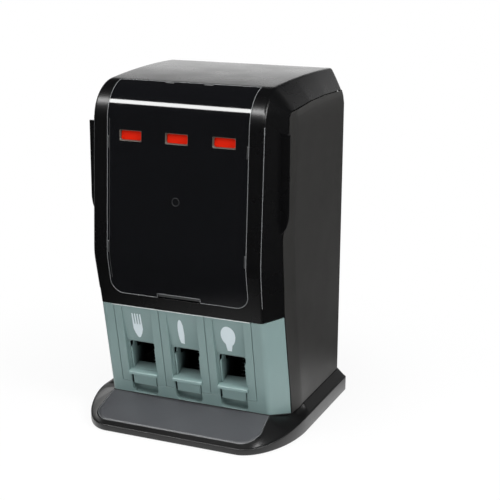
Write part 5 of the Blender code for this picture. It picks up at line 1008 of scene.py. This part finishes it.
def skirt_plan():
    """The base's outline, with a superellipse at each front corner."""
    turn = np.linspace(0, math.pi / 2, 200)
    x = HALF_BASE - SKIRT_CORNER_X * (1 - np.sin(turn) ** (2 / SKIRT_POWER))
    y = SKIRT_CORNER_Y * (1 - np.cos(turn) ** (2 / SKIRT_POWER))
    corner = np.vstack([np.stack([x, y], 1), (HALF_BASE, MATCH_Y)])
    return half_plan(HALF_BASE - SKIRT_CORNER_X, 0, corner, BASE_DEPTH, REAR_CORNER)


def rim_plan(inset):
    """The ledge's rim, drawn in by an inset: a quarter ellipse, then along the body's foot at a small gap."""
    x, y, margin = RIM_HALF - inset, RIM_Y + inset, RIM_GAP - inset
    turn = np.linspace(0, math.pi / 2, 40)
    half, edge = edge_xy(SEAT)
    line = np.stack([x - RIM_CORNER_X * (1 - np.sin(turn)), y + RIM_CORNER_Y * (1 - np.cos(turn))], 1)
    foot = np.array([
        (FACE_FOOT_HALF + margin, FOOT_Y + margin), (half + margin, edge),
        (HALF_BODY + margin, edge + FLARE), (HALF_BODY + margin, MATCH_Y)])
    return half_plan(x - RIM_CORNER_X, y, np.vstack([line, foot]), BODY_REAR + margin, REAR_RADIUS)


def skirt_height(y):
    """Height of the upright skirt: low in front, rising by a smooth step along the sides."""
    return SKIRT_LOW + SKIRT_RISE * smooth(y / SKIRT_RUN)


def ledge_height(y):
    """Height of the ledge: a straight slope from its rim up to the fascia's foot."""
    return np.minimum(SEAT, LEDGE_START + LEDGE_SLOPE * (y - RIM_Y))


def foot_drop(x, y, margin=1.0):
    """How far the body's foot hangs below its seat at its front corners: it grows evenly along both faces."""
    half, edge = edge_xy(SEAT)
    over = (np.abs(x) - FACE_FOOT_HALF) / (half - FACE_FOOT_HALF)
    along = (edge + FLARE - y) / FLARE
    return FOOT_DROP * np.clip(margin * np.minimum(1, np.minimum(over, along)), 0, 1)


def drawn_in(plan, depth):
    """A plan moved inward, square to its own line: each point less depth times the outward normal."""
    step = np.gradient(plan, axis=0)
    step /= np.linalg.norm(step, axis=1, keepdims=True)
    return plan + depth * np.stack([-step[:, 1], step[:, 0]], 1)


def at_height(plan, z):
    """A plan's points at a height, or at a height for each point."""
    return np.stack([plan[:, 0], FRONT + plan[:, 1], z + 0 * plan[:, 0]], 1)


def blended(start, end, shares):
    """Rows between two rows, at shares of the way."""
    return [start + (end - start) * share for share in shares]


def base_rows():
    """Half rows of the base: foot, skirt, rounded edge, sloping band and the rim's bead; then the ledge's."""
    outer, rim, inner = skirt_plan(), rim_plan(0), rim_plan(2 * sizes().rim_bead)
    top = skirt_height(outer[:, 1])
    rim_z = np.minimum(SEAT, ledge_height(rim[:, 1]) + 1.1 * MM) - foot_drop(*rim.T, 1.25)
    inner_z = ledge_height(inner[:, 1]) - foot_drop(*inner.T, 1.25)
    foot, shoulder = drawn_in(outer, 0.8 * MM), drawn_in(outer, SKIRT_ROUND)
    soft = outer + (foot - outer) * 0.3
    start, end = at_height(outer, SKIRT_START), at_height(outer, top - SKIRT_ROUND)
    rows = [at_height(foot, SKIRT_FOOT), at_height(soft, SKIRT_FOOT + 0.3 * MM), start, (start + end) / 2, end]
    for turn in np.linspace(0, math.pi / 2, 9)[1:]:
        plan = outer + (shoulder - outer) * (1 - math.cos(turn))
        rows.append(at_height(plan, top - SKIRT_ROUND * (1 - math.sin(turn))))
    rows += blended(rows[-1], at_height(rim, rim_z), np.linspace(0, 1, 14)[1:])
    for turn in np.linspace(0, math.pi, 9)[1:]:
        share, lift = (1 - math.cos(turn)) / 2, 0.45 * math.sin(turn)
        rows.append(at_height(rim + (inner - rim) * share, rim_z + (inner_z - rim_z) * (share - lift)))
    return np.stack(rows), ledge_rows(inner, inner_z)


def ledge_rows(inner, inner_z):
    """Half rows of the ledge from inside the bead to the body's seat, by way of a shelf between them."""
    ahead = np.searchsorted(inner[:LEDGE_COLUMNS, 1], FOOT_Y)
    behind = inner[:, 1] >= MATCH_Y
    seat, shelf = drawn_in(inner, 9.7 * MM), drawn_in(inner, 3.2 * MM)
    seat[behind] = inner[behind] * (1 - 1.6 * MM / HALF_BODY)
    seat[:ahead, 0] = (inner[ahead, 0] - 1.6 * MM) * np.arange(ahead) / ahead
    seat[:ahead, 1] = FOOT_Y
    plain = behind | (np.arange(len(inner)) < ahead)
    shelf[plain] = (inner[plain] + seat[plain]) / 2
    shelf_z = np.where(np.arange(len(inner)) < ahead, ledge_height(shelf[:, 1]), inner_z)
    start, middle, end = at_height(inner, inner_z), at_height(shelf, shelf_z), at_height(seat, SEAT)
    shares = np.linspace(0, 1, 7)[1:]
    return np.stack([start, *blended(start, middle, shares), *blended(middle, end, shares)])


class DISPENSER_OT_base(bpy.types.Operator):
    """Builds the base: skirt, sloping band, the ledge with its bead, and the bosses over the feet"""
    bl_idname = "dispenser.base"
    bl_label = "Base"

    def execute(self, context):
        rows, ledge = base_rows()
        whole = np.concatenate([rows, ledge[1:]])
        whole = np.concatenate([whole, whole[:, -2:0:-1] * [-1, 1, 1]], 1)
        count = whole.shape[1]
        faces = grid_faces(*whole.shape[:2], closed=True)
        last = (len(whole) - 1) * count
        k = np.arange(count // 2)
        cap = last + np.stack([k, k + 1, (count - k - 1) % count, (count - k) % count], 1)
        cap = [list(dict.fromkeys(face)) for face in cap.tolist()]
        item = coat(piece("base_shell", whole, faces.tolist() + cap, "housing", "base_tray"), "base")
        rounding(walled(item, 2.8 * MM, even=False), 0.3 * MM, 2, 60)
        self.ledge(ledge)
        for name in ("front_left", "front_right", "rear_left", "rear_right"):
            self.boss(name)
        return {"FINISHED"}

    def ledge(self, rows):
        """The ledge's slate-coloured face, a hair above the base's rows, and the lines at its rim and foot."""
        points = mirrored(rows[:, :LEDGE_COLUMNS]) + [0, 0, 0.06 * MM]
        skin = piece("ledge_skin", points, grid_faces(*points.shape[:2]), "housing")
        walled(coat(skin, "ledge"), 0.3 * MM, even=False)
        front = rows[0][rows[0][:, 1] < FRONT + FOOT_Y]
        # Painted highlight along the ledge's rim.
        bead("ledge_edge_line", both_sides(front) + [0, 0, 0.35 * MM], 0.42 * MM, "edge", "housing")
        half, edge = edge_xy(SEAT)
        foot = np.array([(0, FOOT_Y), (FACE_FOOT_HALF, FOOT_Y), (half, edge)])
        foot = np.vstack([foot[:1], polyline(foot, (23, 13))])
        ahead, raised = 0.3 * MM, 0.2 * MM
        line = at_height(foot, SEAT + raised - foot_drop(*foot.T)) - [0, ahead, 0]
        bead("ledge_foot_line", both_sides(line), 0.6 * MM, "rubber", "housing")

    def boss(self, name):
        """A round boss over a foot: a circle of the foot's radius and a wall, carried up to the tray."""
        wall, below, above = 2.2 * MM, 1.4 * MM, 0.3 * MM
        low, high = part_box("foot_" + name)
        turn = np.linspace(0, 2 * math.pi, 48, endpoint=False)
        radius = (high.x - low.x) / 2 + wall
        x, y = (low.x + high.x) / 2 + radius * np.cos(turn), (low.y + high.y) / 2 + radius * np.sin(turn)
        heights = np.full(48, high.z + above), ledge_height(y - FRONT) - below
        rings = np.stack([np.stack([x, y, z], 1) for z in heights])
        rounding(coat(solid("foot_boss_" + name, rings, "housing"), "base"), 0.5 * MM, 2)


class DISPENSER_OT_fronts(bpy.types.Operator):
    """Builds the sage green surround, the three lane fronts, their chutes and levers"""
    bl_idname = "dispenser.fronts"
    bl_label = "Fronts"

    def execute(self, context):
        s = sizes()
        refined("fascia", "sage", s.small_edge, 28)
        for name, lane in LANES:
            refined("lane_bezel_" + name, "sage", s.small_edge)
            # The chutes and levers take the lighter painted-light sage; the chutes also darken inward as painted
            # shade.
            refined("chute_" + name, "chute", s.fine_edge)
            refined("lever_" + name, "lever", s.fine_edge)
            self.cheeks(name, lane * LANE_PITCH)
        height, sunk, radius = 159.1 * MM, 0.15 * MM, 0.5 * MM
        line = on_face(np.linspace(-96, 93, 40) * MM, np.full(40, height), sunk)
        # Painted highlight along the fascia's upper edge, under the hood.
        bead("fascia_top_line", line, radius, "painted_pale_highlight", "housing")
        return {"FINISHED"}

    def cheeks(self, name, middle):
        """The chute's two cheeks carried on inward: plates outside the lever and below the shuttle."""
        start, end, low, near, wall, gap = 73 * MM, 95 * MM, 62 * MM, 17 * MM, 1 * MM, 1.2 * MM
        outline = rectangle(FRONT + start, FRONT + end, low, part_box("shuttle_" + name)[0].z - gap)
        for side, sign in SIDES:
            span = middle + sign * near, middle + sign * (near + wall)
            # The cheeks take the chute's finish, darkened inward as painted shade.
            coat(plate("chute_cheek_%s_%s" % (name, side), span, outline, "housing"), "chute")


# Each sign's width beside its CAD node's, and the way that it moves across its label

SIGN_FITS = {"fork": (0.85, -1.35 * MM), "knife": (1.0, -2.9 * MM), "spoon": (1.0, -1.5 * MM)}


class DISPENSER_OT_signs(bpy.types.Operator):
    """Prints the three signs on the labels"""
    bl_idname = "dispenser.signs"
    bl_label = "Signs"

    def execute(self, context):
        for name, (width, shift) in SIGN_FITS.items():
            self.sign(name, width, shift)
        return {"FINISHED"}

    def sign(self, name, width, shift):
        """A sign made narrower about its own middle by a factor and moved across its label."""
        mesh = refined("icon_" + name, "sign").data
        points = np.empty(len(mesh.vertices) * 3)
        mesh.vertices.foreach_get("co", points)
        x = points[0::3]
        middle = (x.min() + x.max()) / 2
        points[0::3] = middle + shift + (x - middle) * width
        mesh.vertices.foreach_set("co", points)
        mesh.update()


class DISPENSER_OT_works(bpy.types.Operator):
    """Finishes the latch, flags, deck, magazines, shuttles, springs, pins, screws and feet"""
    bl_idname = "dispenser.works"
    bl_label = "Works"

    def execute(self, context):
        # The latch is coloured as a painted highlight of light on its lip.
        refined("door_latch", "painted_dim_highlight", 0.4 * MM)
        for name, _ in LANES:
            # The flags' tops are darkened as painted shadow of their window frames.
            refined("flag_" + name, "flag", 0.25 * MM)
            refined("shuttle_" + name, "slide", 0.25 * MM)
        refined("chassis_deck", "inner", 0.4 * MM)
        dress(("lane_divider", "magazine"), "inner")
        dress(("rear_panel",), "side")
        dress(("hinge_pin", "latch_pin", "flag_rod", "lever_axle", "lever_spring"), "steel")
        dress(("base_screw", "rear_screw"), "steel")
        dress(("foot_",), "rubber")
        return {"FINISHED"}


# Studio

def only_for(tree, rays, seen, other):
    """One shader or colour for the rays named and another for the rest."""
    path = tree.nodes.new("ShaderNodeLightPath")
    mix = tree.nodes.new("ShaderNodeMixShader")
    tree.links.new(path.outputs[rays], mix.inputs[0])
    tree.links.new(other, mix.inputs[1])
    tree.links.new(seen, mix.inputs[2])
    return mix.outputs[0]


def glow(tree, colour=(1, 1, 1), strength=1.0, kind="ShaderNodeEmission"):
    """A shader that gives off light of a colour and strength."""
    made = tree.nodes.new(kind)
    made.inputs["Color"].default_value = (*colour, 1)
    made.inputs["Strength"].default_value = strength
    return made


def math_node(tree, kind, first, second):
    """One step of arithmetic on two values, either of which may be a number."""
    made = tree.nodes.new("ShaderNodeMath")
    made.operation = kind
    for socket, value in zip(made.inputs, (first, second)):
        if isinstance(value, (int, float)):
            socket.default_value = value
        else:
            tree.links.new(value, socket)
    return made.outputs[0]


def parts_of(tree, place):
    """The three coordinates of a place."""
    split = tree.nodes.new("ShaderNodeSeparateXYZ")
    tree.links.new(place, split.inputs[0])
    return split.outputs


def from_axis(tree, x, y):
    """Distance from the upright axis: the root of the sum of two squares."""
    squares = math_node(tree, "ADD", math_node(tree, "MULTIPLY", x, x), math_node(tree, "MULTIPLY", y, y))
    return math_node(tree, "SQRT", squares, 0)


# The camera was fitted to the photograph: focal length and shift in pixels, place in metres, angles in degrees

PICTURE_SIDE, FOCAL_LENGTH, SHIFT_X = 500, 1232, 28
CAMERA_PLACE = (0.6355, -1.3965, 0.6377)
CAMERA_AZIMUTH, CAMERA_ELEVATION = 23.99, 15.36
SENSOR = 36
FLOOR_REACH = 40

# Each lamp: its place, what it aims at, width, height, power, and the rays that don't see it

LAMPS = {
    "key_softbox": ((2.2, -0.7, 1.7), (0, 0, 0.2), 1.1, 1.1, 48, ()),
    "top_softbox": ((-0.1, -0.7, 2.4), (0, 0, 0.2), 1.2, 1.2, 40, ("glossy",)),
    "fill_softbox": ((-0.9, -2.2, 0.55), (0, 0, 0.15), 1.2, 0.9, 8, ("glossy",)),
    "strip_softbox": ((-0.42, -1.21, 1.53), (0, -0.075, 0.42), 2.6, 0.30, 52, ("diffuse",)),
}


class DISPENSER_OT_stage(bpy.types.Operator):
    """Sets the camera, the pale floor, the soft lamps and the white surroundings"""
    bl_idname = "dispenser.stage"
    bl_label = "Stage"

    def execute(self, context):
        scene = context.scene
        scene.view_settings.view_transform = "Standard"
        self.camera(scene)
        self.floor(scene)
        self.surroundings(scene)
        for name, values in LAMPS.items():
            self.lamp(scene, name, *values)
        return {"FINISHED"}

    def camera(self, scene):
        """The camera, turned to look along its azimuth and elevation."""
        data = bpy.data.cameras.new("camera")
        data.sensor_width = SENSOR
        data.lens = FOCAL_LENGTH / PICTURE_SIDE * SENSOR
        data.shift_x = SHIFT_X / PICTURE_SIDE
        camera = bpy.data.objects.new("camera", data)
        scene.collection.objects.link(camera)
        camera.location = CAMERA_PLACE
        a, e = math.radians(CAMERA_AZIMUTH), math.radians(CAMERA_ELEVATION)
        back = Vector((math.sin(a) * math.cos(e), -math.cos(a) * math.cos(e), math.sin(e)))
        camera.rotation_euler = back.to_track_quat("Z", "Y").to_euler()
        scene.camera = camera

    def floor(self, scene):
        """A pale floor that fades to white far off; glossy rays see it dark, with two light places."""
        mesh = bpy.data.meshes.new("floor")
        corners = [(x * FLOOR_REACH, y * FLOOR_REACH, 0) for x, y in ((-1, -1), (1, -1), (1, 1), (-1, 1))]
        mesh.from_pydata(corners, [], [(0, 1, 2, 3)])
        floor = bpy.data.objects.new("floor", mesh)
        scene.collection.objects.link(floor)
        paint = bpy.data.materials.new("pale_floor")
        paint.use_nodes = True
        tree = paint.node_tree
        tree.nodes.clear()
        x, y, _ = parts_of(tree, tree.nodes.new("ShaderNodeTexCoord").outputs["Object"])
        away = from_axis(tree, x, y)
        matt = tree.nodes.new("ShaderNodeBsdfDiffuse")
        matt.inputs["Color"].default_value = (0.86, 0.86, 0.86, 1)
        part = tree.nodes.new("ShaderNodeMixShader")
        tree.links.new(between(tree, away, 0.2, 0.6, low=0.88, high=1.0), part.inputs[0])
        tree.links.new(matt.outputs[0], part.inputs[1])
        tree.links.new(glow(tree).outputs[0], part.inputs[2])
        near = between(tree, away, 0.17, 0.34, low=1.3, high=0.03)
        beside = between(tree, x, -0.3, 0.5, low=0.8, high=0.1)
        behind = math_node(tree, "MULTIPLY", between(tree, y, 0.1, 0.6), beside)
        mirror = glow(tree)
        tree.links.new(math_node(tree, "MAXIMUM", near, behind), mirror.inputs["Strength"])
        shader = only_for(tree, "Is Glossy Ray", mirror.outputs[0], matt.outputs[0])
        shader = only_for(tree, "Is Camera Ray", part.outputs[0], shader)
        tree.links.new(shader, tree.nodes.new("ShaderNodeOutputMaterial").inputs[0])
        mesh.materials.append(paint)

    def surroundings(self, scene):
        """White for the camera, soft light for the object; glossy rays see a low light place behind it."""
        world = bpy.data.worlds.new("surroundings")
        scene.world = world
        world.use_nodes = True
        tree = world.node_tree
        tree.nodes.clear()
        background = "ShaderNodeBackground"
        soft = glow(tree, (0.96, 0.98, 1.0), 0.30, background)
        white, mirror = glow(tree, kind=background), glow(tree, kind=background)
        x, y, z = parts_of(tree, tree.nodes.new("ShaderNodeTexCoord").outputs["Generated"])
        low = between(tree, z, 0.15, 0.42, low=1.65, high=0.0)
        beside = between(tree, x, -0.2, 0.5, low=1.0, high=0.1)
        behind = math_node(tree, "MULTIPLY", between(tree, y, 0.1, 0.8), beside)
        bright = math_node(tree, "MAXIMUM", math_node(tree, "MULTIPLY", low, behind), 0.02)
        tree.links.new(bright, mirror.inputs["Strength"])
        shader = only_for(tree, "Is Glossy Ray", mirror.outputs[0], soft.outputs[0])
        shader = only_for(tree, "Is Transmission Ray", white.outputs[0], shader)
        shader = only_for(tree, "Is Camera Ray", white.outputs[0], shader)
        tree.links.new(shader, tree.nodes.new("ShaderNodeOutputWorld").inputs[0])

    def lamp(self, scene, name, place, aim, width, height, power, unseen):
        """A soft rectangular lamp aimed at a point, out of the camera's sight."""
        data = bpy.data.lights.new(name, "AREA")
        data.shape = "RECTANGLE"
        data.size = width
        data.size_y = height
        data.energy = power
        lamp = bpy.data.objects.new(name, data)
        scene.collection.objects.link(lamp)
        lamp.location = place
        lamp.rotation_euler = (Vector(place) - Vector(aim)).to_track_quat("Z", "Y").to_euler()
        lamp.visible_camera = False
        lamp.visible_glossy = "glossy" not in unseen
        lamp.visible_diffuse = "diffuse" not in unseen


class DISPENSER_PT_panel(bpy.types.Panel):
    """Lists the dispenser's sizes, colours and pieces"""
    bl_idname = "DISPENSER_PT_panel"
    bl_label = "Cutlery dispenser"
    bl_space_type = "VIEW_3D"
    bl_region_type = "UI"
    bl_category = "Dispenser"

    def draw(self, context):
        for group in (sizes(), colours()):
            column = self.layout.column(align=True)
            for name in group.__annotations__:
                column.prop(group, name)
        for operator in OPERATORS:
            self.layout.operator(operator.bl_idname)


OPERATORS = (
    DISPENSER_OT_stage,
    DISPENSER_OT_hood,
    DISPENSER_OT_door,
    DISPENSER_OT_sides,
    DISPENSER_OT_base,
    DISPENSER_OT_fronts,
    DISPENSER_OT_signs,
    DISPENSER_OT_works,
)
CLASSES = (DispenserSizes, DispenserColours, *OPERATORS, DISPENSER_PT_panel)


def register():
    for item in CLASSES:
        bpy.utils.register_class(item)
    bpy.types.Scene.dispenser_sizes = PointerProperty(type=DispenserSizes)
    bpy.types.Scene.dispenser_colours = PointerProperty(type=DispenserColours)


def unregister():
    del bpy.types.Scene.dispenser_colours
    del bpy.types.Scene.dispenser_sizes
    for item in reversed(CLASSES):
        bpy.utils.unregister_class(item)


def main():
    """Registers the classes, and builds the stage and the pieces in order."""
    register()
    make_finishes()
    for operator in ("stage", "hood", "door", "sides", "base", "fronts", "signs", "works"):
        getattr(bpy.ops.dispenser, operator)()


if __name__ == "__main__":
    main()
